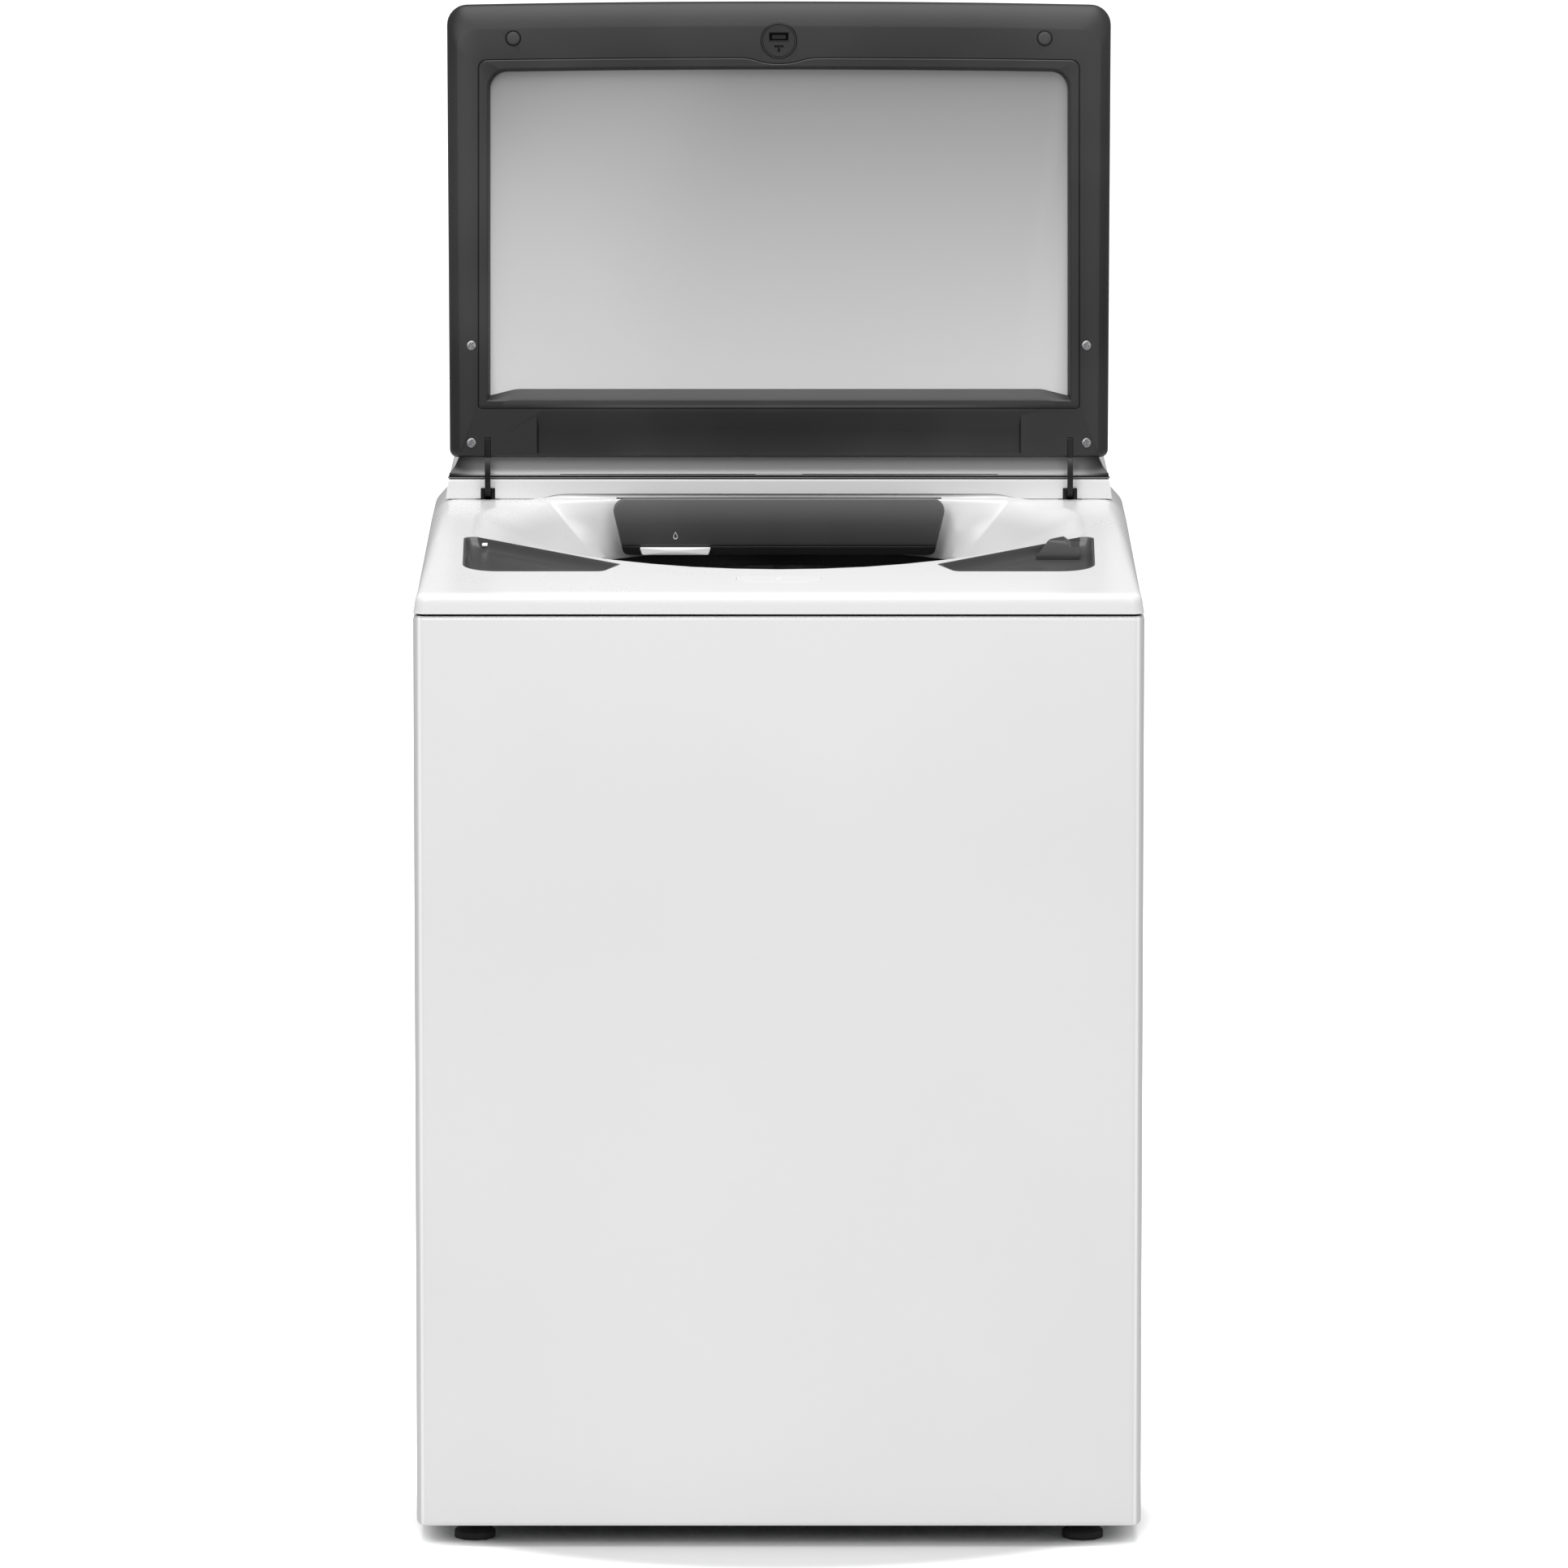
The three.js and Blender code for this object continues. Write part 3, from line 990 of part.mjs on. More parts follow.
function cycleKnob() {
  const grip = turned([
    [0, -KNOB_SHAFT_LENGTH], [KNOB_SHAFT_RADIUS, -KNOB_SHAFT_LENGTH], [KNOB_SHAFT_RADIUS, GAP],
    [KNOB_RADIUS + 3, GAP], [KNOB_RADIUS + 3, 3], [KNOB_RADIUS, 4],
    [KNOB_RADIUS - 1.5, KNOB_HEIGHT - 2], [KNOB_RADIUS - 4, KNOB_HEIGHT], [0, KNOB_HEIGHT],
  ], DRIVE_FACETS, KNOB_X, 0);
  const mark = box(
    KNOB_X - 1, KNOB_X + 1, KNOB_RADIUS * 0.45, KNOB_RADIUS * 0.85, KNOB_HEIGHT - 1, KNOB_HEIGHT + 0.6);
  return onFasciaFace(join(grip, mark), CONTROL_UP);
}

function pushButton(x) {
  const flange = -FASCIA_THICKNESS - GAP;
  return onFasciaFace(turned([
    [0, flange - BUTTON_FLANGE], [BUTTON_RADIUS + 2, flange - BUTTON_FLANGE], [BUTTON_RADIUS + 2, flange],
    [BUTTON_RADIUS, flange],
    [BUTTON_RADIUS, 1.4], [BUTTON_RADIUS - 1, 2], [0, 1.7],
  ], ROUND_FACETS, x, 0), CONTROL_UP);
}

place('console_housing', consoleHousing(), whitePlastic());
place('control_fascia', controlFascia(), finish(0x8d8e90, 0.3, 0.4));
place('control_board', controlBoard(), finish(0x1f5136, 0.6));
place('cycle_knob', cycleKnob(), steel());
place('power_button', pushButton(POWER_BUTTON_X), darkPlastic());
place('start_button', pushButton(START_BUTTON_X), darkPlastic());

// ---------------------------------------------------------------- hinges

function hingeBracket(side) {
  const x = side * ARM_X;
  const level = SEAM + GAP;
  const rear = HINGE.y + BRACKET_REAR;
  const front = HINGE.y - BRACKET_FRONT;
  const plate = box(x - BRACKET_HALF, x + BRACKET_HALF, front, rear, level, level + CHEEK);
  const slot = box(x - CHEEK_INNER, x + CHEEK_INNER, front - 1, rear - 4, level - 1, level + CHEEK + 1);
  const cheeks = [-1, 1].map((hand) => {
    const inner = x + hand * CHEEK_INNER;
    const outer = x + hand * (CHEEK_INNER + CHEEK);
    const outline = roundedOutline([
      [front, level], [rear - 6, level], [HINGE.y + 6, HINGE.z + 3, 4], [HINGE.y + 3, HINGE.z + 6, 4],
      [front + 2.4, HINGE.z + 5, 3], [front + 2.4, HINGE.z - 9], [front, HINGE.z - 11],
    ]);
    return prismX(outline, Math.min(inner, outer), Math.max(inner, outer), 3);
  });
  return join(cut(plate, slot), ...cheeks, turnedX(HINGE_PIN_RADIUS, x, CHEEK_INNER + 1, PIN_FACETS));
}

function armGuide(side) {
  const x = side * ARM_X;
  const low = SEAM - GUIDE_FLANGE;
  const flangeHalf = GUIDE_HALF + GUIDE_FLANGE;
  const flange = box(x - flangeHalf, x + flangeHalf, GUIDE_FRONT, RISER_Y - GAP, low, SEAM + GUIDE_TOP + 1);
  const rear = RISER_Y + CONSOLE_WALL;
  const sleeve = box(x - GUIDE_HALF, x + GUIDE_HALF, GUIDE_FRONT, rear, low, SEAM + GUIDE_TOP);
  const slot = box(
    x - CHEEK_INNER, x + CHEEK_INNER, GUIDE_FRONT - 1, rear + 1, low - 1, SEAM + GUIDE_TOP - 2);
  return cut(join(flange, sleeve), slot);
}

for (const [name, side] of sides) {
  place(`hinge_bracket_${name}`, hingeBracket(side), galvanized());
  place(`arm_guide_${name}`, armGuide(side), blackPlastic());
}

// ---------------------------------------------------------------- lid

const lid = new THREE.Group();
lid.position.copy(HINGE);
lid.rotation.x = DECK_SLOPE - LID_OPEN_ANGLE;
washer.add(lid);

const UNDERSIDE = -LID_DROP;
const GLASS_TOP = LID_TOP - LID_SKIN - GAP;
const GLASS_BOTTOM = GLASS_TOP - GLASS_THICKNESS;

function lidLoop(level, front, side, rear) {
  const halfFront = LID_FRONT_HALF - side;
  const halfRear = LID_REAR_HALF - side;
  const outline = symmetric([
    [halfFront, lidY(LID_LENGTH - front), LID_CORNER], [halfRear, lidY(rear), LID_CORNER * 0.4],
  ]);
  const z = THREE.MathUtils.lerp(UNDERSIDE, LID_TOP, level);
  return outline.getPoints(4).slice(0, -1).map((point) => new THREE.Vector3(point.x, point.y, z));
}

/** A rectangle on the lid, given by its half width and its distances forward from the rear edge. */
const onLid = (half, near, far, radius) => rectangle(-half, half, lidY(far), lidY(near), radius);

function lidOuterFrame() {
  const body = loft([
    lidLoop(0, LID_ROLL, LID_SIDE_BEVEL, 1.5),
    lidLoop(0.17, LID_ROLL * 0.62, LID_SIDE_BEVEL * 0.35, 0),
    lidLoop(0.45, LID_ROLL * 0.25, LID_SIDE_BEVEL * 0.08, 0),
    lidLoop(0.75, LID_ROLL * 0.05, 0, 0),
    lidLoop(0.88, 0, 0, 0),
    lidLoop(1, 2.5, 2.5, 1),
  ]);
  const below = UNDERSIDE - 1;
  const seat = LID_TOP - LID_SKIN;
  const window = prismZ(onLid(WINDOW_HALF - 6, WINDOW_REAR + 8, WINDOW_FRONT - 5, 16), below, LID_TOP + 1, 4);
  const linerSeat = cut(
    prismZ(onLid(LINER_HALF + GAP, LINER_REAR - GAP, LINER_FRONT + GAP, 8), below, seat, 3),
    strikeBoss(-GAP));
  const relief = prismZ(onLid(SEAM_STEP_X + 1, RELIEF_REAR, RELIEF_REAR + RELIEF_LENGTH, 4),
    below, UNDERSIDE + RELIEF_DEPTH, 2);
  const strikeSeat = rod(
    STRIKE_RADIUS + GAP, below, UNDERSIDE + STRIKE_DEPTH + GAP, 0, lidY(STRIKE_FROM_REAR), ROUND_FACETS);
  const plugs = sides.map(([, side]) => rod(
    BUMPER_PLUG_RADIUS + GAP, below, UNDERSIDE + BUMPER_PLUG + GAP,
    side * BUMPER_X, lidY(BUMPER_FROM_REAR), PIN_FACETS));
  const armSeats = sides.map(([, side]) => box(
    side * ARM_X - ARM_THICKNESS / 2 - GAP, side * ARM_X + ARM_THICKNESS / 2 + GAP,
    lidY(ARM_TAB + GAP), lidY(-2), below, UNDERSIDE + ARM_TAB_HEIGHT + GAP));
  return cut(body, window, linerSeat, relief, strikeSeat, ...plugs, ...armSeats);
}

/** The frame's step round the strike, grown by a gap. */
const strikeBoss = (grow) => box(
  -BOSS_HALF - grow, BOSS_HALF + grow,
  lidY(LINER_FRONT + 2), lidY(BOSS_FROM_REAR - grow), UNDERSIDE - 2, LID_TOP);

/** The liner round the window, with a sloping inner edge. */
function lidInnerFrame() {
  const low = UNDERSIDE - 0.4;
  const high = GLASS_BOTTOM - GAP;
  const ring = prismZ(onLid(LINER_HALF, LINER_REAR, LINER_FRONT, 8), low, high, 3);
  const loop = (z, half, near, far) => onLid(half, near, far, 18).getPoints(5).slice(0, -1)
    .map((point) => new THREE.Vector3(point.x, point.y, z));
  const opening = loft([
    loop(low - 1, WINDOW_HALF + 1, WINDOW_REAR - 0.5, WINDOW_FRONT + 0.5),
    loop(low + 1.5, WINDOW_HALF, WINDOW_REAR, WINDOW_FRONT),
    loop(high + 0.5, WINDOW_HALF - 4, WINDOW_REAR + 11, WINDOW_FRONT - 3),
  ]);
  return cut(ring, opening, strikeBoss(0));
}

function lidGlass() {
  return prismZ(onLid(LINER_HALF - 2, LINER_REAR + 2, BOSS_FROM_REAR - 1, 8), GLASS_BOTTOM, GLASS_TOP, 3);
}

/** The strike: a round plug with a hole that the lock's bolt enters. */
function lidStrike() {
  const y = lidY(STRIKE_FROM_REAR);
  const body = rod(STRIKE_RADIUS, UNDERSIDE, UNDERSIDE + STRIKE_DEPTH, 0, y, ROUND_FACETS);
  const hole = box(-BOLT_WIDTH / 2 - 1.5, BOLT_WIDTH / 2 + 1.5, lidY(CATCH_FROM_REAR + BOLT_DEPTH / 2 + 1.5),
    lidY(CATCH_FROM_REAR - BOLT_DEPTH / 2 - 1.5), UNDERSIDE - 1, UNDERSIDE + STRIKE_DEPTH - 2);
  const groove = box(-STRIKE_RADIUS * 0.9, STRIKE_RADIUS * 0.9, y - 8, y - 4, UNDERSIDE - 1, UNDERSIDE + 1.5);
  return cut(body, hole, groove);
}

function lidBumper(side) {
  return turned([
    [0, UNDERSIDE - 1.3], [BUMPER_RADIUS - 2, UNDERSIDE - 1.3], [BUMPER_RADIUS, UNDERSIDE - GAP],
    [BUMPER_PLUG_RADIUS, UNDERSIDE - GAP], [BUMPER_PLUG_RADIUS, UNDERSIDE + BUMPER_PLUG],
    [0, UNDERSIDE + BUMPER_PLUG],
  ], PIN_FACETS, side * BUMPER_X, lidY(BUMPER_FROM_REAR));
}

/** A hinge arm: a tab in the lid, an arc about the hinge axis that runs through the guide, and a hub. */
function hingeArm(side) {
  const x0 = side * ARM_X - ARM_THICKNESS / 2;
  const x1 = x0 + ARM_THICKNESS;
  const tab = prismX(roundedOutline([
    [lidY(ARM_TAB), UNDERSIDE - GAP, 1.5], [lidY(-1), UNDERSIDE + 1], [lidY(-1), UNDERSIDE + ARM_TAB_HEIGHT],
    [lidY(ARM_TAB), UNDERSIDE + ARM_TAB_HEIGHT],
  ]), x0, x1, 3);
  const start = -Math.PI + Math.acos(LID_SETFORWARD / ARM_OUTER_RADIUS) * 0.9;
  const ring = new THREE.Shape();
  ring.absarc(0, 0, ARM_OUTER_RADIUS, start, ARM_END, false);
  ring.absarc(0, 0, ARM_INNER_RADIUS, ARM_END, start, true);
  const arc = prismX(ring, x0, x1, 7);
  const web = new THREE.Shape();
  web.absarc(0, 0, ARM_INNER_RADIUS + 1, ARM_END - ARM_WEB, ARM_END, false);
  web.lineTo(0, 0);
  const spoke = prismX(web, x0, x1, 4);
  const pivot = (radius, length) => solid(
    new THREE.CylinderGeometry(radius, radius, length, PIN_FACETS).rotateZ(Math.PI / 2)
      .translate(side * ARM_X, 0, 0));
  const hub = pivot(ARM_HUB_RADIUS, ARM_THICKNESS);
  const bore = pivot(HINGE_PIN_RADIUS + GAP, ARM_THICKNESS + 2);
  return cut(join(tab, arc, spoke, hub), bore);
}

place('lid_outer_frame', lidOuterFrame(), darkPlastic(), lid);
place('lid_inner_frame', lidInnerFrame(), darkPlastic(), lid);
place('lid_glass', lidGlass(), finish(0xb9bcbe, 0.08, 0, { transparent: true, opacity: 0.55 }), lid);
place('lid_strike', lidStrike(), blackPlastic(), lid);
for (const [name, side] of sides) {
  place(`lid_bumper_${name}`, lidBumper(side), rubber(), lid);
  place(`hinge_arm_${name}`, hingeArm(side), blackPlastic(), lid);
}

// ---------------------------------------------------------------- lid lock

function lidLockBody() {
  const y = fromFront(LOCK_SETBACK);
  const bezel = prismZ(stadium(LOCK_HALF_LENGTH, LOCK_HALF_WIDTH, y), -DECK_WALL, 0, 5);
  const body = box(-LOCK_HALF_LENGTH * 0.7, LOCK_HALF_LENGTH * 0.7, y - LOCK_HALF_WIDTH * 0.7,
    y + LOCK_HALF_WIDTH * 0.7, -LOCK_BODY_DEPTH, -DECK_WALL + 0.5);
  const wellHalf = BOLT_WIDTH / 2 + RUNNING_GAP;
  const wellReach = BOLT_DEPTH / 2 + RUNNING_GAP;
  const well = box(-wellHalf, wellHalf, y - wellReach, y + wellReach, -LOCK_BODY_DEPTH + 2, 1);
  return onDeck(cut(join(bezel, body), well));
}

function lidLockBolt() {
  const y = fromFront(LOCK_SETBACK);
  return onDeck(box(-BOLT_WIDTH / 2, BOLT_WIDTH / 2, y - BOLT_DEPTH / 2, y + BOLT_DEPTH / 2,
    -BOLT_SINK - BOLT_LENGTH, -BOLT_SINK));
}

place('lid_lock_body', lidLockBody(), whitePlastic());
place('lid_lock_bolt', lidLockBolt(), whitePlastic());

// ---------------------------------------------------------------- rear services

function inletValve() {
  const [x, z] = VALVE;
  const body = prismY(serviceOutline(VALVE, 0), PANEL_FRONT - VALVE_DEPTH, PANEL_REAR, 3);
  const { radius, bore, length, floor } = VALVE_PORT;
  const ports = [-1, 1].map((hand) => turnedBack(
    [[0, -1], [radius, -1], [radius, length], [bore, length], [bore, floor], [0, floor]],
    ROUND_FACETS, x + hand * VALVE_PORT_X, PANEL_REAR, z));
  return join(body, ...ports);
}

/** A hollow stub on the rear panel, with its flange in the panel's hole. */
function spigot(service, { radius, bore, length }) {
  const [x, z] = service;
  const flange = prismY(serviceOutline(service, 0), PANEL_FRONT, PANEL_REAR, 3);
  const core = (size, low, high) => turnedBack(
    [[0, low], [size, low], [size, high], [0, high]], ROUND_FACETS, x, PANEL_REAR, z);
  return cut(join(flange, core(radius, -SPIGOT_TAIL, length)), core(bore, -SPIGOT_TAIL - 1, length + 1));
}

place('inlet_valve', inletValve(), whitePlastic());
place('drain_hose_port', spigot(DRAIN_PORT, DRAIN_SPIGOT), greyPlastic());
place('cord_gland', spigot(CORD_GLAND, GLAND_SPIGOT), blackPlastic());

// ---------------------------------------------------------------- tub

function outerTub() {
  const wall = TUB_WALL;
  const shell = turned([
    [HUB_RADIUS + RUNNING_GAP + 1, TUB_BOTTOM], [TUB_RADIUS - 28, TUB_BOTTOM], [TUB_RADIUS, TUB_BOTTOM + 26],
    [TUB_RADIUS, TUB_TOP], [TUB_RADIUS - wall, TUB_TOP], [TUB_RADIUS - wall, TUB_BOTTOM + 28],
    [TUB_RADIUS - 30, TUB_BOTTOM + wall], [HUB_RADIUS + RUNNING_GAP + 1, TUB_BOTTOM + wall],
  ], TUB_FACETS, 0, TUB_Y);
  const [coreDown, coreUp] = EAR_CORE;
  const core = rod(TUB_RADIUS - wall * 0.5, EAR_LEVEL - coreDown, EAR_LEVEL + coreUp, 0, TUB_Y, TUB_FACETS);
  const root = TUB_RADIUS - EAR_LAP;
  const ears = rodPlaces.map(([, x, y]) => {
    const reach = Math.hypot(x, y - TUB_Y);
    const turn = THREE.MathUtils.radToDeg(Math.atan2(y - TUB_Y, x));
    const half = EAR_THICKNESS / 2;
    const arm = prismZ(roundedOutline([
      [root, -EAR_ROOT_HALF], [reach + 4, -EAR_TIP_HALF, EAR_TIP_CORNER],
      [reach + 4, EAR_TIP_HALF, EAR_TIP_CORNER], [root, EAR_ROOT_HALF],
    ]), EAR_LEVEL - half, EAR_LEVEL + half, 4);
    const rib = prismY(roundedOutline([
      [root, EAR_LEVEL], [reach - EAR_RIB_INSET, EAR_LEVEL], [root, EAR_LEVEL + EAR_RIB_HEIGHT],
    ]), -4, 4);
    return join(arm, rib).rotate([0, 0, turn]).translate([0, TUB_Y, 0]);
  });
  const holes = rodPlaces.map(([, x, y]) =>
    rod(ROD_RADIUS + 1, EAR_LEVEL - EAR_THICKNESS, EAR_LEVEL + EAR_THICKNESS, x, y, PIN_FACETS));
  return cut(join(shell, ...ears.map((ear) => cut(ear, core))), ...holes);
}

function tubRing() {
  const low = TUB_TOP + GAP;
  const high = low + TUB_RING_HEIGHT;
  return turned([
    [TUB_RADIUS - TUB_WALL, low], [TUB_RADIUS + 2, low], [TUB_RADIUS + 2, low + 8],
    [TUB_RING_MOUTH + 8, high], [TUB_RING_MOUTH, high], [TUB_RING_MOUTH, high - 5],
    [TUB_RADIUS - TUB_WALL, low + 5],
  ], TUB_FACETS, 0, TUB_Y);
}

/** The wash basket: a drum with a rolled floor edge and a tall hub for the impeller's shaft. */
function basket() {
  const inner = BASKET_RADIUS - BASKET_WALL;
  const bore = SHAFT_RADIUS + RUNNING_GAP;
  return turned([
    [bore, HUB_BOTTOM], [HUB_RADIUS, HUB_BOTTOM], [HUB_RADIUS, BASKET_BOTTOM],
    [BASKET_RADIUS - 22, BASKET_BOTTOM], [BASKET_RADIUS, BASKET_BOTTOM + 18],
    [BASKET_RADIUS, BASKET_TOP], [inner, BASKET_TOP],
    [inner, BASKET_BOTTOM + 19], [inner - 21, BASKET_BOTTOM + 3], [HUB_RADIUS + HUB_WALL, BASKET_BOTTOM + 3],
    [HUB_RADIUS + HUB_WALL, HUB_TOP - 4], [HUB_RADIUS - 4, HUB_TOP], [bore, HUB_TOP],
  ], TUB_FACETS, 0, TUB_Y);
}

function balanceRing() {
  const seat = BASKET_TOP + GAP;
  const inner = BASKET_RADIUS - BASKET_WALL - GAP;
  const low = seat - BALANCE_RING_PLUG;
  const high = low + BALANCE_RING_HEIGHT;
  return turned([
    [BALANCE_RING_MOUTH + 5, low], [inner, low], [inner, seat], [BASKET_RADIUS + 1, seat],
    [BASKET_RADIUS + 1, high - 4], [BASKET_RADIUS - 5, high], [BALANCE_RING_MOUTH + 8, high],
    [BALANCE_RING_MOUTH, high - 8], [BALANCE_RING_MOUTH, low + 6],
  ], TUB_FACETS, 0, TUB_Y);
}

/** The three-armed spider under the basket's floor, tight round its hub. */
function basketSpider() {
  const high = BASKET_BOTTOM - GAP;
  const ring = turned([
    [HUB_RADIUS + GAP, high - SPIDER_DEPTH], [HUB_RADIUS + 14, high - SPIDER_DEPTH],
    [HUB_RADIUS + SPIDER_DEPTH, high], [HUB_RADIUS + GAP, high],
  ], TUB_FACETS);
  const tip = BASKET_RADIUS - SPIDER_REACH;
  const arm = prismX(roundedOutline([
    [HUB_RADIUS + 8, high - SPIDER_DEPTH * 0.8], [tip - 10, high - SPIDER_DEPTH * 0.3], [tip, high],
    [HUB_RADIUS + 8, high],
  ]), -SPIDER_ARM_HALF, SPIDER_ARM_HALF);
  const arms = [0, 120, 240].map((turn) => arm.rotate([0, 0, turn]));
  return join(ring, ...arms).translate([0, TUB_Y, 0]);
}

// ---------------------------------------------------------------- drive

/** The impeller: a dished plate with curved-top fins, on its shaft. */
function impeller() {
  const low = HUB_TOP + IMPELLER_LIFT;
  const cone = IMPELLER_CONE.map(([radius, height]) => [radius, low + height]);
  const plate = turned([
    [0, SHAFT_BOTTOM], [SHAFT_RADIUS, SHAFT_BOTTOM], [SHAFT_RADIUS, low], [IMPELLER_RADIUS - 14, low + 3],
    [IMPELLER_RADIUS, low + 12], [IMPELLER_RADIUS * 0.55, low + 7], ...cone,
  ], TUB_FACETS);
  const root = SHAFT_RADIUS * 2;
  const shoulder = IMPELLER_CONE[0][0];
  const fin = prismX(roundedOutline([
    [root, low + FIN_ROOT], [IMPELLER_RADIUS - 12, low + FIN_ROOT],
    [IMPELLER_RADIUS - 16, low + FIN_HEIGHTS.tip], [IMPELLER_RADIUS * 0.75, low + FIN_HEIGHTS.outer],
    [IMPELLER_RADIUS * 0.5, low + FIN_HEIGHTS.middle], [shoulder, low + FIN_HEIGHTS.shoulder],
    [root, low + FIN_HEIGHTS.root],
  ]), -IMPELLER_FIN_HALF, IMPELLER_FIN_HALF);
  const fins = Array.from({ length: IMPELLER_FINS }, (_, i) => fin.rotate([0, 0, (360 * i) / IMPELLER_FINS]));
  return join(plate, ...fins).translate([0, TUB_Y, 0]);
}

/** A grooved rim profile for a belt pulley. */
function pulleyRim(radius) {
  const root = radius - BELT_THICKNESS;
  const half = BELT_HEIGHT / 2 + GAP;
  return [
    [root - 5, PULLEY_LEVEL - half - 3], [radius, PULLEY_LEVEL - half - 2], [root, PULLEY_LEVEL - half],
    [root, PULLEY_LEVEL + half], [radius, PULLEY_LEVEL + half + 2], [root - 5, PULLEY_LEVEL + half + 3],
  ];
}

function drivePulley() {
  const bore = (SHAFT_RADIUS + GAP) / DRIVE_CHORD;
  const hub = bore + PULLEY_HUB;
  const web = DRIVE_PULLEY_RADIUS - PULLEY_RIM;
  return turned([
    [bore, PULLEY_LEVEL - PULLEY_HUB_HALF], [hub, PULLEY_LEVEL - PULLEY_HUB_HALF],
    [hub, PULLEY_LEVEL - PULLEY_WEB], [web, PULLEY_LEVEL - PULLEY_WEB], ...pulleyRim(DRIVE_PULLEY_RADIUS),
    [web, PULLEY_LEVEL + PULLEY_WEB], [hub, PULLEY_LEVEL + PULLEY_WEB],
    [hub, PULLEY_LEVEL + PULLEY_HUB_HALF], [bore, PULLEY_LEVEL + PULLEY_HUB_HALF],
  ], DRIVE_FACETS, 0, TUB_Y);
}

function motorPulley() {
  const top = MOTOR_BOTTOM + MOTOR_SHAFT_REACH;
  return turned([
    [0, PULLEY_LEVEL - PULLEY_HUB_HALF], [MOTOR_SHAFT + 4, PULLEY_LEVEL - PULLEY_HUB_HALF],
    ...pulleyRim(MOTOR_PULLEY_RADIUS), [MOTOR_SHAFT, PULLEY_LEVEL + PULLEY_HUB_HALF + 2],
    [MOTOR_SHAFT, top], [0, top],
  ], DRIVE_FACETS, MOTOR_X, TUB_Y);
}

/** A flat loop round both pulleys, outside circles of these radii. */
function beltLoop(ShapeType, driveRadius, motorRadius) {
  const path = new ShapeType();
  const touch = Math.acos((driveRadius - motorRadius) / MOTOR_X);
  path.absarc(0, TUB_Y, driveRadius, touch, 2 * Math.PI - touch, false);
  path.absarc(MOTOR_X, TUB_Y, motorRadius, -touch, touch, false);
  return path;
}

function driveBelt() {
  const drive = (DRIVE_PULLEY_RADIUS - BELT_THICKNESS + GAP) / DRIVE_CHORD;
  const motorRoot = (MOTOR_PULLEY_RADIUS - BELT_THICKNESS + GAP) / DRIVE_CHORD;
  const loop = beltLoop(THREE.Shape, drive + BELT_THICKNESS, motorRoot + BELT_THICKNESS);
  loop.holes.push(beltLoop(THREE.Path, drive, motorRoot));
  return prismZ(loop, PULLEY_LEVEL - BELT_HEIGHT / 2, PULLEY_LEVEL + BELT_HEIGHT / 2, DRIVE_FACETS * 0.6);
}

function gearcase() {
  const top = TUB_BOTTOM - GAP;
  const shaftBore = (SHAFT_RADIUS + RUNNING_GAP) / DRIVE_CHORD;
  const hubBore = (HUB_RADIUS + RUNNING_GAP) / DRIVE_CHORD;
  const flange = GEARCASE_RADIUS + GEARCASE_FLANGE;
  return turned([
    [shaftBore, GEARCASE_BOTTOM], [GEARCASE_RADIUS * 0.5, GEARCASE_BOTTOM],
    [GEARCASE_RADIUS * 0.57, GEARCASE_BOTTOM + 12], [GEARCASE_RADIUS, GEARCASE_BOTTOM + 24],
    [GEARCASE_RADIUS, top - 12], [flange, top - 8], [flange, top], [hubBore, top],
    [hubBore, HUB_BOTTOM - 1], [shaftBore, HUB_BOTTOM - 1],
  ], DRIVE_FACETS, 0, TUB_Y);
}

function motor() {
  const top = TUB_BOTTOM - GAP;
  const seat = MOTOR_BOTTOM + MOTOR_SHAFT_REACH + GAP;
  const bore = (MOTOR_SHAFT + RUNNING_GAP) / DRIVE_CHORD;
  return turned([
    [0, seat], [bore, seat], [bore, MOTOR_BOTTOM], [MOTOR_RADIUS - 10, MOTOR_BOTTOM],
    [MOTOR_RADIUS, MOTOR_BOTTOM + 10], [MOTOR_RADIUS, top - 22],
    [MOTOR_RADIUS - 12, top - 10], [MOTOR_RADIUS - 12, top], [0, top],
  ], DRIVE_FACETS, MOTOR_X, TUB_Y);
}

function drainPump() {
  const top = TUB_BOTTOM - GAP;
  const low = top - PUMP_HEIGHT;
  const body = turned([
    [0, low], [PUMP_RADIUS - 12, low], [PUMP_RADIUS - 8, low + 4], [PUMP_RADIUS - 8, top - PUMP_COLLAR - 2],
    [PUMP_RADIUS, top - PUMP_COLLAR], [PUMP_RADIUS, top - 6], [PUMP_RADIUS - 6, top], [0, top],
  ], ROUND_FACETS, PUMP_X, TUB_Y);
  const { radius, bore, length } = PUMP_OUTLET;
  const outlet = turnedBack([[bore, 0], [radius, 0], [radius, length], [bore, length]], PIN_FACETS,
    PUMP_X - radius - 1, TUB_Y + PUMP_RADIUS - 10, top - PUMP_COLLAR / 2 - 1);
  return join(body, outlet);
}

place('outer_tub', outerTub(), finish(0xd9dad6, 0.5));
place('tub_ring', tubRing(), finish(0x2b2c2e, 0.5));
place('gearcase', gearcase(), finish(0x9c9fa2, 0.5, 0.7));
place('motor', motor(), finish(0x6d7074, 0.45, 0.6));
place('drain_pump', drainPump(), finish(0x25272a, 0.5));
place('drive_belt', driveBelt(), rubber());
place('basket', basket(), steel());
place('balance_ring', balanceRing(), finish(0x55585c, 0.45));
place('basket_spider', basketSpider(), finish(0xa6a9ac, 0.5, 0.7));
place('impeller', impeller(), finish(0x6c7176, 0.45));
place('drive_pulley', drivePulley(), finish(0x2a2b2d, 0.5));
place('motor_pulley', motorPulley(), steel());

// ---------------------------------------------------------------- suspension

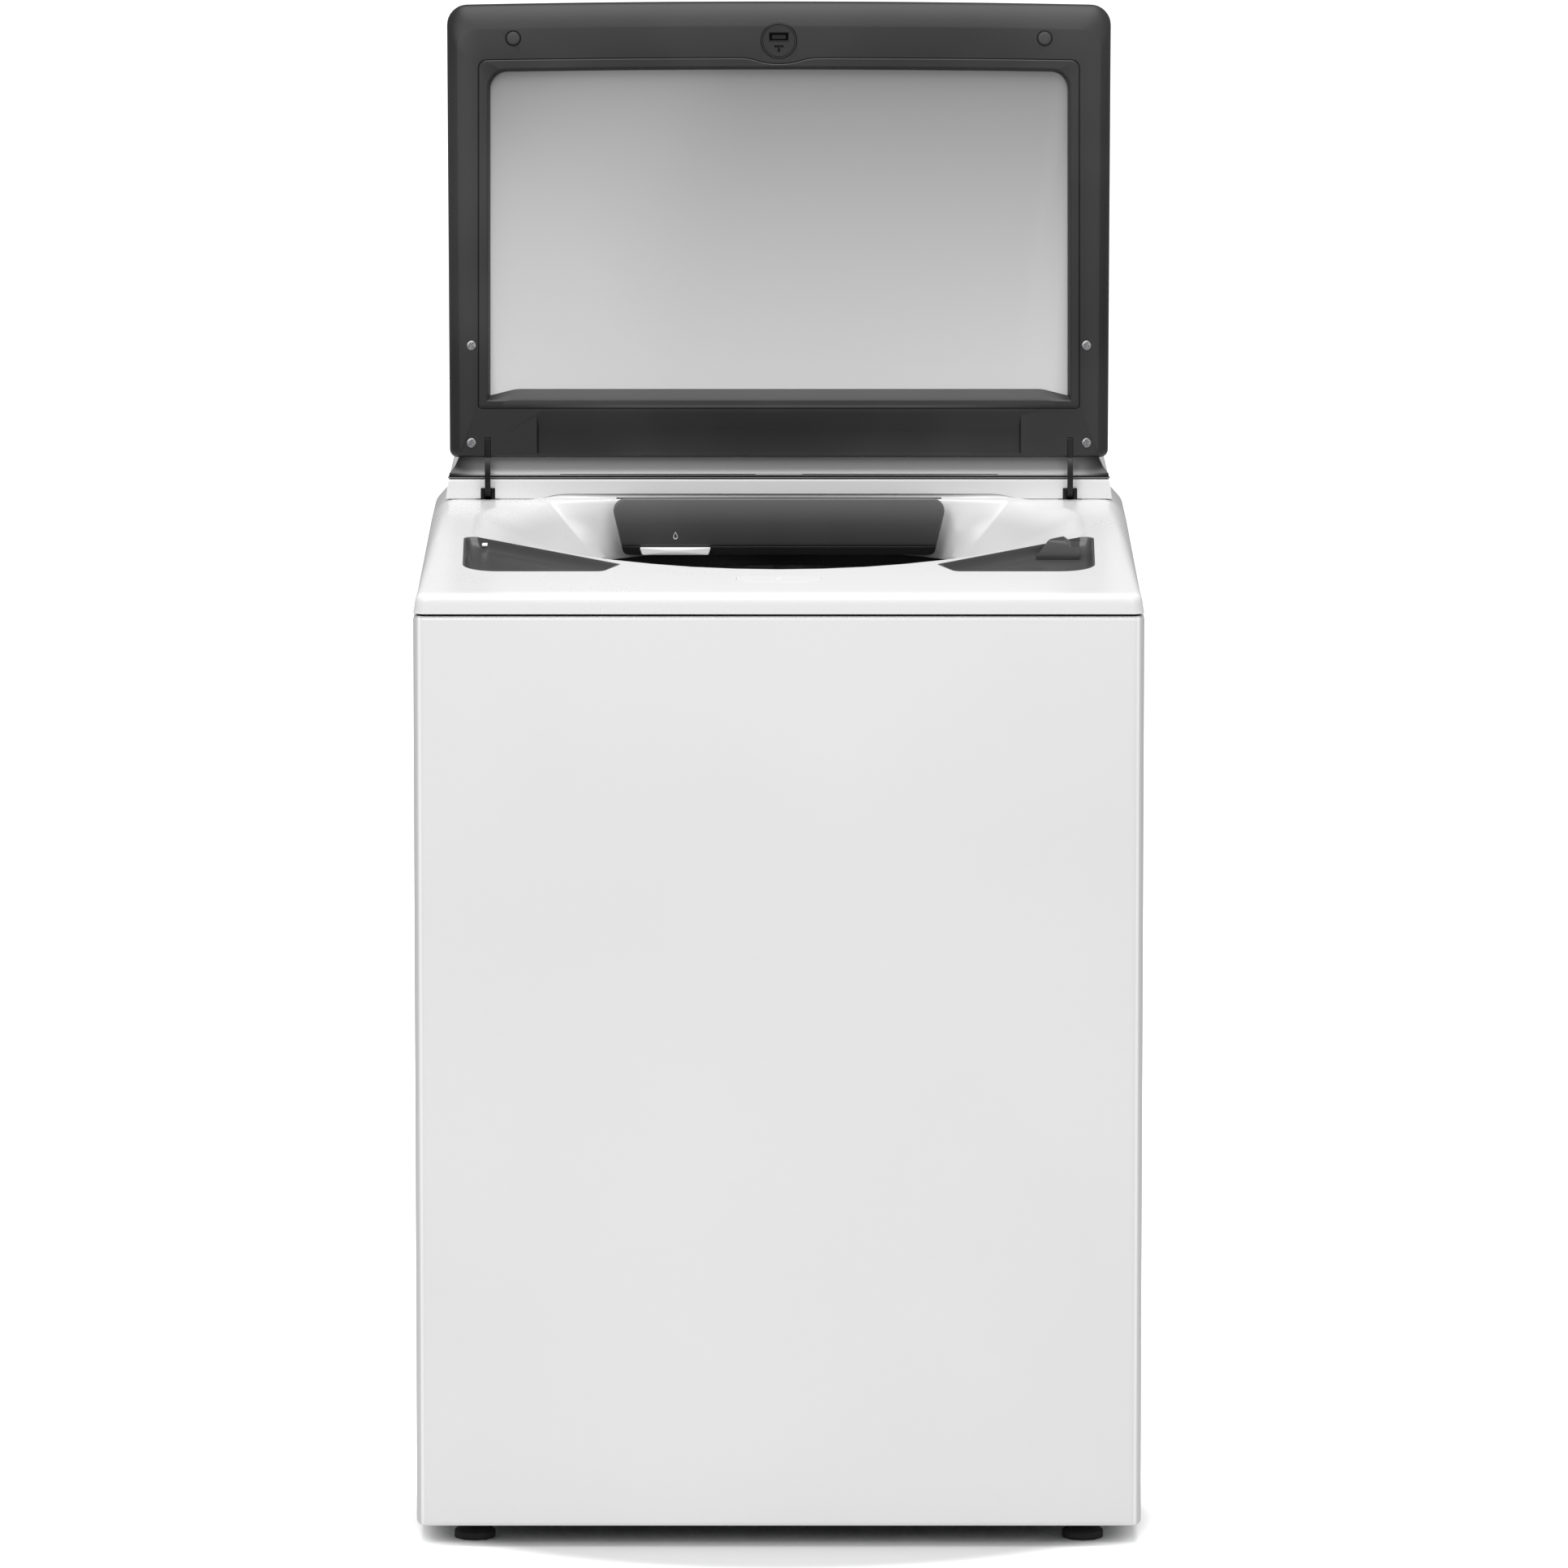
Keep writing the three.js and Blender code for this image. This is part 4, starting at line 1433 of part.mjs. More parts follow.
function suspensionRod(x, y) {
  const head = CABINET_TOP + GAP;
  return turned([
    [0, ROD_BOTTOM], [SPRING_RADIUS + 3, ROD_BOTTOM], [SPRING_RADIUS + 4, CAP_TOP], [ROD_RADIUS, CAP_TOP],
    [ROD_RADIUS, head], [ROD_HEAD_RADIUS, head], [ROD_HEAD_RADIUS, head + 3], [ROD_RADIUS, head + 6],
    [0, head + 6],
  ], PIN_FACETS, x, y);
}

/** A coil spring between the rod's cap and the tub's ear. */
class Helix extends THREE.Curve {
  constructor(radius, low, high, turns) {
    super();
    Object.assign(this, { radius, low, high, turns });
  }

  getPoint(t, target = new THREE.Vector3()) {
    const angle = 2 * Math.PI * this.turns * t;
    const z = THREE.MathUtils.lerp(this.low, this.high, t);
    return target.set(this.radius * Math.cos(angle), this.radius * Math.sin(angle), z);
  }
}

function suspensionSpring(x, y) {
  const low = CAP_TOP + GAP + SPRING_WIRE;
  const high = EAR_LEVEL - EAR_THICKNESS / 2 - GAP - SPRING_WIRE;
  const section = new THREE.Shape();
  section.absarc(0, 0, SPRING_WIRE, 0, 2 * Math.PI, false);
  const coil = new THREE.ExtrudeGeometry(section, {
    extrudePath: new Helix(SPRING_RADIUS, low, high, SPRING_TURNS),
    steps: Math.round(SPRING_TURNS * 6), curveSegments: 2,
  });
  return solid(coil.translate(x, y, 0));
}

for (const [name, x, y] of rodPlaces) {
  place(`suspension_rod_${name}`, suspensionRod(x, y), steel());
  place(`suspension_spring_${name}`, suspensionSpring(x, y), steel());
}

// ---------------------------------------------------------------- stain brush

/** The brush block: it fills the tray's rear corner, and its grip stands over the deck. */
function stainBrush() {
  const floor = -TRAY_DEPTH + TRAY_WALL + GAP;
  const front = fromFront(BRUSH_SETBACK);
  const rear = front + BRUSH_DEPTH;
  const low = BRUSH_X - BRUSH_HALF;
  const high = BRUSH_X + BRUSH_HALF;
  const fromSide = prismX(roundedOutline([
    [front, floor], [rear, floor], [rear, BRUSH_GRIP, 2], [front + 8, BRUSH_GRIP, 2], [front, floor + 13, 3],
  ]), low, high, 3);
  const fromFrontView = prismY(roundedOutline([
    [low, floor], [high, floor], [high, 0.6], [high - 9, 0.6, 2], [high - 15, BRUSH_GRIP, 2],
    [low + 14, BRUSH_GRIP, 3], [low, floor + 11, 2],
  ]), front - 1, rear + 1, 3);
  const room = prismZ(trayOutline(1, TRAY_WALL + 9 + GAP * 2), floor - 1, BRUSH_GRIP + 1, 4);
  return onDeck(common(fromSide, fromFrontView, room));
}

place('stain_brush', stainBrush(), finish(0x3b3c3e, 0.5));

export default washer;
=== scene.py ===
"""Top load washing machine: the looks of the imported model, in the same frame as the CAD.

Shapes are worked out in millimetres, and MM brings them to metres when a mesh is made.
"""
import json
import math

import bmesh
import bpy
import numpy as np
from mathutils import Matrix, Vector


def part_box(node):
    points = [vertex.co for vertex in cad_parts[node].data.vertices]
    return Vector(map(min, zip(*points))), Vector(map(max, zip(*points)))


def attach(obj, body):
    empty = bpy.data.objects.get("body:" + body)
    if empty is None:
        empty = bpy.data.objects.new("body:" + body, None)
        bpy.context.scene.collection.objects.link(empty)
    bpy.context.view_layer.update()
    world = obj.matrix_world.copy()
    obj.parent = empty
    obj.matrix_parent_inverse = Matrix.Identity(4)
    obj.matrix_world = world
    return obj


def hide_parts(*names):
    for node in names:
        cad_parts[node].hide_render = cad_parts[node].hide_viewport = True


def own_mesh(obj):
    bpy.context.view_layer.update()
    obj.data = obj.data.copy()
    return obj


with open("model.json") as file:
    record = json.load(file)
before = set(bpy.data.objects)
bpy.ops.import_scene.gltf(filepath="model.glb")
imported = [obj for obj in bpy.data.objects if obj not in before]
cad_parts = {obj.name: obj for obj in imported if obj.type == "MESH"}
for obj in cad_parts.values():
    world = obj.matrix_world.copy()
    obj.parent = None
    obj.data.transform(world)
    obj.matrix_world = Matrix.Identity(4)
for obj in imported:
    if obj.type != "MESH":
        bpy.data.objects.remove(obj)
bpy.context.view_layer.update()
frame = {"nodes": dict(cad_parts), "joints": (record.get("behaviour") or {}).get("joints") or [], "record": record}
MM = 0.001


def extent(node):
    """A node's lowest and highest corner, in millimetres."""
    return [np.array(corner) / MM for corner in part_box(node)]


# ---- shader maths


class Value:
    """A shader socket that can be used in Python arithmetic."""

    def __init__(self, shader, socket):
        self.shader = shader
        self.socket = socket

    def maths(self, operation, *others):
        return self.shader.node("ShaderNodeMath", {"operation": operation}, [self, *others])

    def __add__(self, other):
        return self.maths("ADD", other)

    def __sub__(self, other):
        return self.maths("SUBTRACT", other)

    def __rsub__(self, other):
        return self.shader.node("ShaderNodeMath", {"operation": "SUBTRACT"}, [other, self])

    def __mul__(self, other):
        return self.maths("MULTIPLY", other)

    def __abs__(self):
        return self.maths("ABSOLUTE")

    def __gt__(self, other):
        return self.maths("GREATER_THAN", other)

    def smooth(self, low, high, first=0.0, last=1.0):
        """First below low, last above high, with a soft step between them."""
        return self.shader.node(
            "ShaderNodeMapRange", {"interpolation_type": "SMOOTHSTEP"}, [self, low, high, first, last])


class Shader:
    """A node tree whose nodes are each made in one call."""

    def __init__(self, owner):
        owner.use_nodes = True
        self.tree = owner.node_tree

    def link(self, value, target):
        if isinstance(value, Value):
            self.tree.links.new(value.socket, target)
        else:
            target.default_value = value

    def node(self, kind, settings=None, inputs=(), output=0):
        """Makes a node: its settings first, then its inputs in order (a list) or by name (a dict)."""
        made = self.tree.nodes.new(kind)
        for key, value in (settings or {}).items():
            setattr(made, key, value)
        pairs = inputs.items() if isinstance(inputs, dict) else enumerate(inputs)
        for key, value in pairs:
            self.link(value, made.inputs[key])
        return Value(self, made.outputs[output])


class Finish(Shader):
    """A material with one Principled shader, for the pieces of one material slot of the record,
    which bears the finish's own name where slot is None."""

    def __init__(self, name, slot, color, roughness, metallic=0.0, **fixed):
        self.slot = slot or name
        self.material = bpy.data.materials.new(name)
        super().__init__(self.material)
        self.material.diffuse_color = (*color, 1.0)
        self.principled = self.tree.nodes["Principled BSDF"]
        self.fill("Base Color", (*color, 1.0))
        self.fill("Roughness", roughness)
        self.fill("Metallic", metallic)
        for socket, value in fixed.items():
            self.fill(socket.replace("_", " "), value)

    def fill(self, socket, value):
        self.link(value, self.principled.inputs[socket])

    def place(self):
        """Object coordinates, as a vector and as x, y and z, in metres."""
        where = self.node("ShaderNodeTexCoord", output="Object")
        apart = [self.node("ShaderNodeSeparateXYZ", {}, [where], output=axis) for axis in range(3)]
        return where, *apart

    def noise(self, where, scale, detail=2.0):
        fields = {"Vector": where, "Scale": scale, "Detail": detail}
        return self.node("ShaderNodeTexNoise", {}, fields, output="Fac")

    def mix(self, amount, low, high):
        """A colour between two colours."""
        made = self.tree.nodes.new("ShaderNodeMix")
        made.data_type = "RGBA"
        self.link(amount, made.inputs["Factor"])
        for name, color in (("A", low), ("B", high)):
            socket = next(entry for entry in made.inputs if entry.name == name and entry.type == "RGBA")
            self.link(color if isinstance(color, Value) else (*color, 1.0), socket)
        return Value(self, next(entry for entry in made.outputs if entry.type == "RGBA"))

    def bump(self, height, distance, strength=1.0):
        """Relief: height is in units of distance, in metres."""
        self.fill("Normal", self.node("ShaderNodeBump", {}, {
            "Strength": strength, "Distance": distance, "Height": height}, output="Normal"))


def grey(level):
    """An sRGB level from 0 to 255 as a linear grey."""
    value = level / 255
    linear = value / 12.92 if value <= 0.04045 else ((value + 0.055) / 1.055) ** 2.4
    return (linear,) * 3


# ---- finishes


def moulded(name, slot, color, roughness, grain=900.0, depth=0.00003, paint=None, **fixed):
    """Moulded plastic: fine grain in the relief, and a slight drift in the gloss and the colour."""
    made = Finish(name, slot, color, roughness, **fixed)
    where, x, y, z = made.place()
    fine = made.noise(where, grain, 3.0)
    drift = made.noise(where, 5.0)
    under = paint(made, x, y, z) if paint else color
    dusty = made.mix(0.06, under, (0.5, 0.5, 0.5))
    made.fill("Base Color", made.mix(drift.smooth(0.35, 0.75) * 0.5, under, dusty))
    made.fill("Roughness", (drift - 0.5) * 0.12 + (fine - 0.5) * 0.08 + roughness)
    made.bump(fine, depth, 0.5)
    return made


def enamel(name, slot, level, paint, roughness=0.3):
    """Baked white enamel: a faint orange peel under a clear coat, and a slight drift in its white."""
    made = Finish(name, slot, grey(level), roughness, Coat_Weight=0.35, Coat_Roughness=0.12)
    where, x, y, z = made.place()
    peel = made.noise(where, 260.0)
    drift = made.noise(where, 3.0)
    under = paint(made, x, y, z)
    made.fill("Base Color", made.mix(drift.smooth(0.3, 0.7) * 0.03, under, grey(120)))
    made.fill("Roughness", (peel - 0.5) * 0.08 + roughness)
    made.bump(peel, 0.00004, 0.3)
    return made


def drawn(name, slot, color, roughness, grain, metallic=1.0):
    """Drawn or rolled metal: fine lines along the axis that grain stretches least, and a worn gloss."""
    made = Finish(name, slot, color, roughness, metallic)
    where, *_ = made.place()
    stretched = made.node("ShaderNodeMapping", {}, {"Vector": where, "Scale": grain})
    lines = made.noise(stretched, 1.0, 3.0)
    worn = made.noise(where, 30.0, 3.0)
    made.fill("Base Color", made.mix(worn.smooth(0.4, 0.7), color, tuple(part * 0.86 for part in color)))
    made.fill("Roughness", (lines - 0.5) * 0.25 + roughness)
    made.bump(lines, 0.00002, 0.5)
    return made


def spangled():
    """Galvanized sheet: zinc crystals, each with its own grey and gloss."""
    made = Finish("galvanized", "galvanized", (0.52, 0.53, 0.55), 0.42, 1.0)
    where, *_ = made.place()
    crystal = made.node("ShaderNodeTexVoronoi", {}, {"Vector": where, "Scale": 90.0}, output="Color")
    shade = made.node("ShaderNodeSeparateColor", {}, [crystal])
    made.fill("Base Color", made.mix(shade, (0.44, 0.45, 0.47), (0.60, 0.61, 0.63)))
    made.fill("Roughness", shade * 0.18 + 0.34)
    made.bump(shade, 0.00002, 0.4)
    return made


def cast(name, slot, color, metallic):
    """A sand casting: a coarse skin with darker hollows."""
    made = Finish(name, slot, color, 0.5, metallic)
    where, *_ = made.place()
    skin_grain = made.noise(where, 380.0, 4.0)
    hollow = tuple(part * 0.7 for part in color)
    made.fill("Base Color", made.mix(skin_grain.smooth(0.35, 0.6), hollow, color))
    made.fill("Roughness", (skin_grain - 0.5) * 0.3 + 0.5)
    made.bump(skin_grain, 0.0003, 0.6)
    return made


def perforated():
    """The basket's steel: a wall of small round drain holes, and fine brushing round it."""
    steel, dark = (0.42, 0.42, 0.43), (0.01, 0.01, 0.01)
    made = drawn("basket_steel", "steel", steel, 0.32, (60.0, 60.0, 900.0))
    _, x, y, z = made.place()
    back = y - TUB_MIDDLE * MM
    turn = back.maths("ARCTAN2", x) * (BASKET_HOLES / (2 * math.pi))
    level = z * (1 / (HOLE_PITCH * MM))
    across = turn.maths("FRACT") - 0.5
    along = level.maths("FRACT") - 0.5
    away = (across * across + along * along).maths("SQRT")
    wall = (x * x + back * back).maths("SQRT") > (BASKET_WALL_FROM * MM)
    hole = (1 - away.smooth(*HOLE_EDGE)) * wall
    made.fill("Base Color", made.mix(hole, steel, dark))
    made.fill("Metallic", 1 - hole)
    return made


def board_green():
    """A circuit board: copper tracks under green lacquer."""
    made = Finish("circuit_board", "circuit_board", (0.02, 0.10, 0.04), 0.4, Coat_Weight=0.5)
    where, *_ = made.place()
    cells = made.node("ShaderNodeTexVoronoi", {"feature": "DISTANCE_TO_EDGE"},
                      {"Vector": where, "Scale": 160.0}, output="Distance")
    track = 1 - cells.smooth(0.04, 0.08)
    made.fill("Base Color", made.mix(track, (0.015, 0.09, 0.035), (0.05, 0.20, 0.07)))
    made.bump(track, 0.00005, 0.5)
    return made


def pane():
    """Tinted glass, a little clear and polished, with a painted reflection: lighter low down and darker towards
    the lid's front edge.
    """
    made = Finish("tinted_glass", "tinted_glass", grey(180), 0.2, Alpha=0.94, Specular_IOR_Level=0.2)
    where, _, _, z = made.place()
    share = (z - GLASS_LOW) * (1 / (GLASS_HIGH - GLASS_LOW))
    haze = made.noise(where, 4.0)
    # Painted reflection: the pane's colour runs from light at its lowest to dark at its highest.
    made.fill("Base Color", made.mix(share + (haze - 0.5) * 0.03, *map(grey, GLASS_REFLECTION_LEVELS)))
    made.fill("Roughness", (haze - 0.5) * 0.04 + 0.25)
    return made


def fascia_painted_shade(made, x, y, z):
    """The fascia's satin band with painted shade: a little darker on its lower lip than above it, and painted dark
    towards both ends.
    """
    lip, face, end = map(grey, FASCIA_SHADE_LEVELS)
    # Painted shade: the lip a little darker than the face, and both ends dark.
    up = made.mix((z * 1000).smooth(*FASCIA_RISE), lip, face)
    return made.mix((abs(x) * 1000).smooth(*FASCIA_SHADED_ENDS), up, end)


def front_painted_light(made, x, y, z):
    """The dispenser's front with painted light: lighter at its upper edge, darker below."""
    return made.mix((z * 1000).smooth(*FRONT_RISE), *map(grey, FRONT_LIGHT_LEVELS))


def deck_painted_shade(made, x, y, z):
    """The deck's white with painted shade: a little deeper towards the riser and down in the bowl."""
    front, rear, bowl = map(grey, DECK_SHADE_LEVELS)
    below = (y + DECK_FACE) * math.tan(math.radians(DECK_SLOPE)) + DECK_FOOT - z
    plane = made.mix(y.smooth(*DECK_SHADE_TURN), front, rear)
    # Painted shade down in the bowl, below the deck's plane.
    return made.mix((below * 1000).smooth(*BOWL_SHADE_DEPTHS) * (y > BOWL_SHADE_FROM), plane, bowl)


def cabinet_painted_light(made, x, y, z):
    """The cabinet's white with painted light: its rolled front corners get painted shade, darker outwards, with a
    painted highlight line inside that.
    """
    face, light, edge = map(grey, CABINET_LIGHT_LEVELS)
    across = abs(x) * 1000
    corner = 1 - (y * 1000).smooth(*PAINTED_CORNER_DEPTHS)
    start, full, fade, end, dark = (CABINET_HALF - inset for inset in HIGHLIGHT_INSETS)
    # A painted highlight line, and painted shade out to the edge, on the front corners only.
    line = across.smooth(start, full) * (1 - across.smooth(fade, end))
    return made.mix(across.smooth(fade, dark) * corner, made.mix(line * corner, face, light), edge)


def liner_painted_light(made, x, y, z):
    """The liner's grey with painted light: its ramp below the glass has a painted highlight in the middle and
    painted shade at both ends.
    """
    face, middle, end = map(grey, LINER_LIGHT_LEVELS)
    up = z * 1000
    ramp = up.smooth(*RAMP_BOTTOM) * (1 - up.smooth(*RAMP_TOP))
    return made.mix(ramp, face, made.mix((abs(x) * 1000).smooth(*RAMP_SHADED_ENDS), middle, end))


# Levels are sRGB greys of painted light and shade. Ranges are where a tone turns, in millimetres unless said
# otherwise.
FASCIA_SHADE_LEVELS = (190, 195, 34)  # painted shade: lip, face, both ends
FASCIA_RISE, FASCIA_SHADED_ENDS = (1003, 1022), (285, 331)
FRONT_LIGHT_LEVELS = (53, 87)  # painted light: below, above
FRONT_RISE = (930, 978)
DECK_SHADE_LEVELS = (233, 222, 196)  # painted shade: front, rear, bowl
DECK_SLOPE = 4.15  # degrees
DECK_FACE, DECK_FOOT = 0.343, 0.9394  # the front face's distance and the slope's level there, in metres
DECK_SHADE_TURN, BOWL_SHADE_DEPTHS, BOWL_SHADE_FROM = (-0.13, 0.12), (1, 22), -0.3  # the first and last in metres
CABINET_LIGHT_LEVELS = (230, 247, 206)  # face, painted highlight line, painted shade at the outer edge
CABINET_HALF = float(extent("cabinet_wrap")[1][0])
PAINTED_CORNER_DEPTHS = (-333, -326)
HIGHLIGHT_INSETS = (8, 7, 5.5, 4.5, 3)  # the painted highlight line starts, is full, fades, ends; the painted shade is full at the edge
LINER_LIGHT_LEVELS = (36, 70, 20)  # face, then the ramp's painted highlight in the middle and painted shade at its ends
RAMP_BOTTOM, RAMP_TOP, RAMP_SHADED_ENDS = (1052, 1056), (1068, 1072), (120, 280)
GLASS_LOW, GLASS_HIGH = (corner[2] * MM for corner in extent("lid_glass"))
GLASS_REFLECTION_LEVELS = (212, 136)  # painted reflection: below, above
TUB_MIDDLE = -14.0
BASKET_HOLES = 82  # round the wall
HOLE_PITCH = 20.0
HOLE_EDGE = (0.13, 0.17)  # in shares of the pitch
BASKET_WALL_FROM = 256.0

FINISHES = {made.slot: made for made in (
    moulded("white_plastic", None, grey(233), 0.32, Coat_Weight=0.2),
    moulded("dark_plastic", None, grey(44), 0.38),
    moulded("grey_plastic", None, grey(62), 0.42),
    moulded("black_plastic", None, grey(12), 0.45, Specular_IOR_Level=0.25),
    board_green(),
    spangled(),
    drawn("steel", None, (0.55, 0.55, 0.57), 0.3, (600.0, 600.0, 4.0)),
    drawn("chrome", None, (0.72, 0.72, 0.74), 0.16, (600.0, 4.0, 600.0)),
    cast("casting", None, (0.42, 0.43, 0.45), 0.8),
    cast("motor_iron", None, (0.12, 0.13, 0.15), 0.3),
    moulded("tub_plastic", None, (0.55, 0.56, 0.54), 0.5, 300.0, 0.0001),
    moulded("rubber", None, grey(22), 0.75, 500.0, 0.0001),
    pane(),
)}
# The cabinet, deck, fascia, liner and dispenser front below take painted light and shade through their paint.
CABINET_WHITE = enamel("cabinet_white_painted_light", "white_enamel", 230, cabinet_painted_light)
DECK_WHITE = moulded("deck_white_painted_shade", "white_plastic", grey(236), 0.3, 300.0, 0.000005, paint=deck_painted_shade,
                     Coat_Weight=0.3, Coat_Roughness=0.2)
RISER_WHITE = moulded("riser_white", "white_plastic", grey(232), 0.3, Coat_Weight=0.2)
BRIGHT_WHITE = moulded("bright_white", "white_plastic", grey(248), 0.25, Coat_Weight=0.4)
MARK_WHITE = moulded("mark_white", "white_plastic", grey(215), 0.5)
TRIM_GREY = moulded("trim_grey", "fascia_grey", grey(120), 0.3)
FASCIA_GREY = moulded("fascia_satin_painted_shade", "fascia_grey", grey(150), 0.32, paint=fascia_painted_shade, Metallic=0.2)
# Black rubber for the seals, and also for the console's shadow bar, which is painted shadow.
SEAL_AND_SHADOW_BLACK = moulded("seal_and_shadow_black", "rubber", grey(5), 0.8, Specular_IOR_Level=0.15)
TRAY_GREY = moulded("tray_grey", "grey_plastic", grey(60), 0.36, 700.0)
BRUSH_GREY = moulded("brush_grey", "grey_plastic", grey(52), 0.42)
LID_GREY = moulded("lid_grey", "dark_plastic", grey(35), 0.38, 1200.0, 0.00002, Specular_IOR_Level=0.3)
LINER_GREY = moulded("liner_grey_painted_light", "dark_plastic", grey(36), 0.38, 1200.0, 0.00002, paint=liner_painted_light,
                     Specular_IOR_Level=0.3)
PAD_GREY = moulded("pad_grey", "rubber", grey(44), 0.6)
ARM_BLACK = moulded("arm_black", "black_plastic", grey(6), 0.4, Specular_IOR_Level=0.25)
FRONT_GREY = moulded("front_grey_painted_light", "dark_plastic", grey(60), 0.3, 1200.0, 0.00002, paint=front_painted_light)
BAND_BLACK = moulded("band_black", "dark_plastic", grey(38), 0.34)
# A darker copy of the grey plastic for the balance ring: painted shade inside the opening.
RING_SHADE_GREY = moulded("ring_grey_painted_shade", "grey_plastic", grey(22), 0.5, Specular_IOR_Level=0.15)
BASKET_STEEL = perforated()
SCREW_ZINC = drawn("screw_zinc", "galvanized", (0.30, 0.30, 0.31), 0.34, (900.0, 900.0, 30.0))

# ---- forms


def unit(vectors):
    return vectors / np.maximum(np.linalg.norm(vectors, axis=-1, keepdims=True), 1e-9)


def directions(bearings):
    """The unit vectors at these bearings."""
    return np.stack([np.cos(bearings), np.sin(bearings)], axis=1)


def circle(parts):
    return directions(np.linspace(0, 2 * math.pi, parts, endpoint=False))


def smooth(value, low, high):
    """0 below low, 1 above high: 3t^2 - 2t^3 of the share t between them."""
    share = np.clip((value - low) / (high - low), 0, 1)
    return share * share * (3 - 2 * share)


NEARLY_STRAIGHT = 1.565  # half of a corner's angle, in radians


def outline(corners, turn=6, run=1):
    """A closed outline: each corner (x, y, radius) is an arc of turn parts about the centre on its
    bisector, and each straight side between two arcs has run parts."""
    corners = np.array(corners, dtype=float)
    here, radius = corners[:, :2], corners[:, 2:]
    to_last = unit(np.roll(here, 1, axis=0) - here)
    to_next = unit(np.roll(here, -1, axis=0) - here)
    half = np.arccos(np.clip((to_last * to_next).sum(axis=1, keepdims=True), -1, 1)) / 2
    straight = half > NEARLY_STRAIGHT
    half = np.where(straight, 1.0, half)
    sweep = math.pi - 2 * half
    reach = np.where(straight, 0, radius / np.tan(half))
    centre = here + np.where(straight, 0, unit(to_last + to_next) * radius / np.sin(half))
    share = np.linspace(0, 1, turn + 1)
    from_last = (here + to_last * reach - centre)[:, None]
    from_next = (here + to_next * reach - centre)[:, None]
    first = (np.sin((1 - share) * sweep) / np.sin(sweep))[..., None] * from_last
    second = (np.sin(share * sweep) / np.sin(sweep))[..., None] * from_next
    arc = centre[:, None] + first + second
    start, end = arc[:, -1], np.roll(arc[:, 0], -1, axis=0)
    side = start[:, None] + (end - start)[:, None] * np.linspace(0, 1, run + 1)[1:-1, None]
    return np.concatenate([arc, side], axis=1).reshape(-1, 2)


def rectangle(x0, x1, y0, y1, radius, turn=6):
    return outline([(x0, y0, radius), (x1, y0, radius), (x1, y1, radius), (x0, y1, radius)], turn)


def level_row(loop, height):
    """A row from a plan outline at its height, or at one height for each of its points."""
    return np.column_stack([loop, np.broadcast_to(height, len(loop))])


def upright_row(loop, y):
    """A row from an outline (x, z) that stands at y."""
    return np.column_stack([loop[:, 0], np.broadcast_to(y, len(loop)), loop[:, 1]])


def rows_of(*pairs):
    """Rows of a form from pairs of a plan outline and its height."""
    return np.stack([level_row(*pair) for pair in pairs])


def skin(rows, around=True, joined=False, capped=False):
    """A shell on a grid of rows: around closes each row, joined closes the last row to the first,
    and capped puts one face on the first and one on the last row."""
    count, width = rows.shape[:2]
    index = np.arange(count * width).reshape(count, width)
    if joined:
        index = np.vstack([index, index[:1]])
    if around:
        index = np.hstack([index, index[:, :1]])
    quads = np.stack([index[:-1, :-1], index[:-1, 1:], index[1:, 1:], index[1:, :-1]], axis=-1)
    faces = [quads.reshape(-1, 4)]
    if capped:
        faces.append(index[[0, -1], :width])
    return rows.reshape(-1, 3), faces


def prism(loop, low, high):
    return skin(rows_of((loop, low), (loop, high)), capped=True)


def lathe(profile, parts=48):
    """A turned form: each (radius, height) of the profile goes round the z axis in parts steps."""
    profile = np.array(profile, dtype=float)
    heights = np.broadcast_to(profile[:, None, 1:], (len(profile), parts, 1))
    return skin(np.concatenate([profile[:, None, :1] * circle(parts)[None], heights], axis=2))


def tube(path, radius, sides=10):
    """A round tube along a path: each ring lies across the way, on the side and up vectors there."""
    ahead = unit(np.gradient(path, axis=0))
    side = unit(np.cross(ahead, np.array([0.03, 0.05, 1.0])))
    up = np.cross(side, ahead)
    angle = np.linspace(0, 2 * math.pi, sides, endpoint=False)[None, :, None]
    rings = path[:, None] + radius * (np.cos(angle) * side[:, None] + np.sin(angle) * up[:, None])
    return skin(rings, capped=True)


class Place:
    """A workplace in the machine: turned about the x axis by degrees, with its own origin."""

    def __init__(self, origin, degrees):
        turn = math.radians(degrees)
        self.origin = np.array(origin, dtype=float)
        self.turn = np.array([
            [1, 0, 0], [0, math.cos(turn), -math.sin(turn)], [0, math.sin(turn), math.cos(turn)]])

    def out(self, shell):
        points, faces = shell
        return points @ self.turn.T + self.origin, faces


def moved(shell, x=0, y=0, z=0):
    return shell[0] + np.array([x, y, z], dtype=float), shell[1]


# ---- pieces

BODY_OF = {node: body for body, nodes in frame["record"]["behaviour"]["bodies"].items() for node in nodes}
NODE_SLOT = {entry["node"]: entry["material_slot"] for entry in frame["record"]["subparts"]}
done = set()


def mesh_of(name, shells):
    """One mesh from shells in millimetres, with doubles merged and its faces turned outwards."""
    points, faces, first = [], [], 0
    for where, blocks in shells:
        points.append(where)
        faces += [face for block in blocks for face in (block + first).tolist()]
        first += len(where)
    mesh = bpy.data.meshes.new(name)
    mesh.from_pydata((np.concatenate(points) * MM).tolist(), [], faces)
    form = bmesh.new()
    form.from_mesh(mesh)
    bmesh.ops.remove_doubles(form, verts=form.verts, dist=0.000002)
    bmesh.ops.dissolve_degenerate(form, edges=form.edges, dist=0.000001)
    bmesh.ops.recalc_face_normals(form, faces=form.faces)
    form.to_mesh(mesh)
    form.free()
    return mesh


def linked(name, data):
    made = bpy.data.objects.new(name, data)
    bpy.context.scene.collection.objects.link(made)
    return made


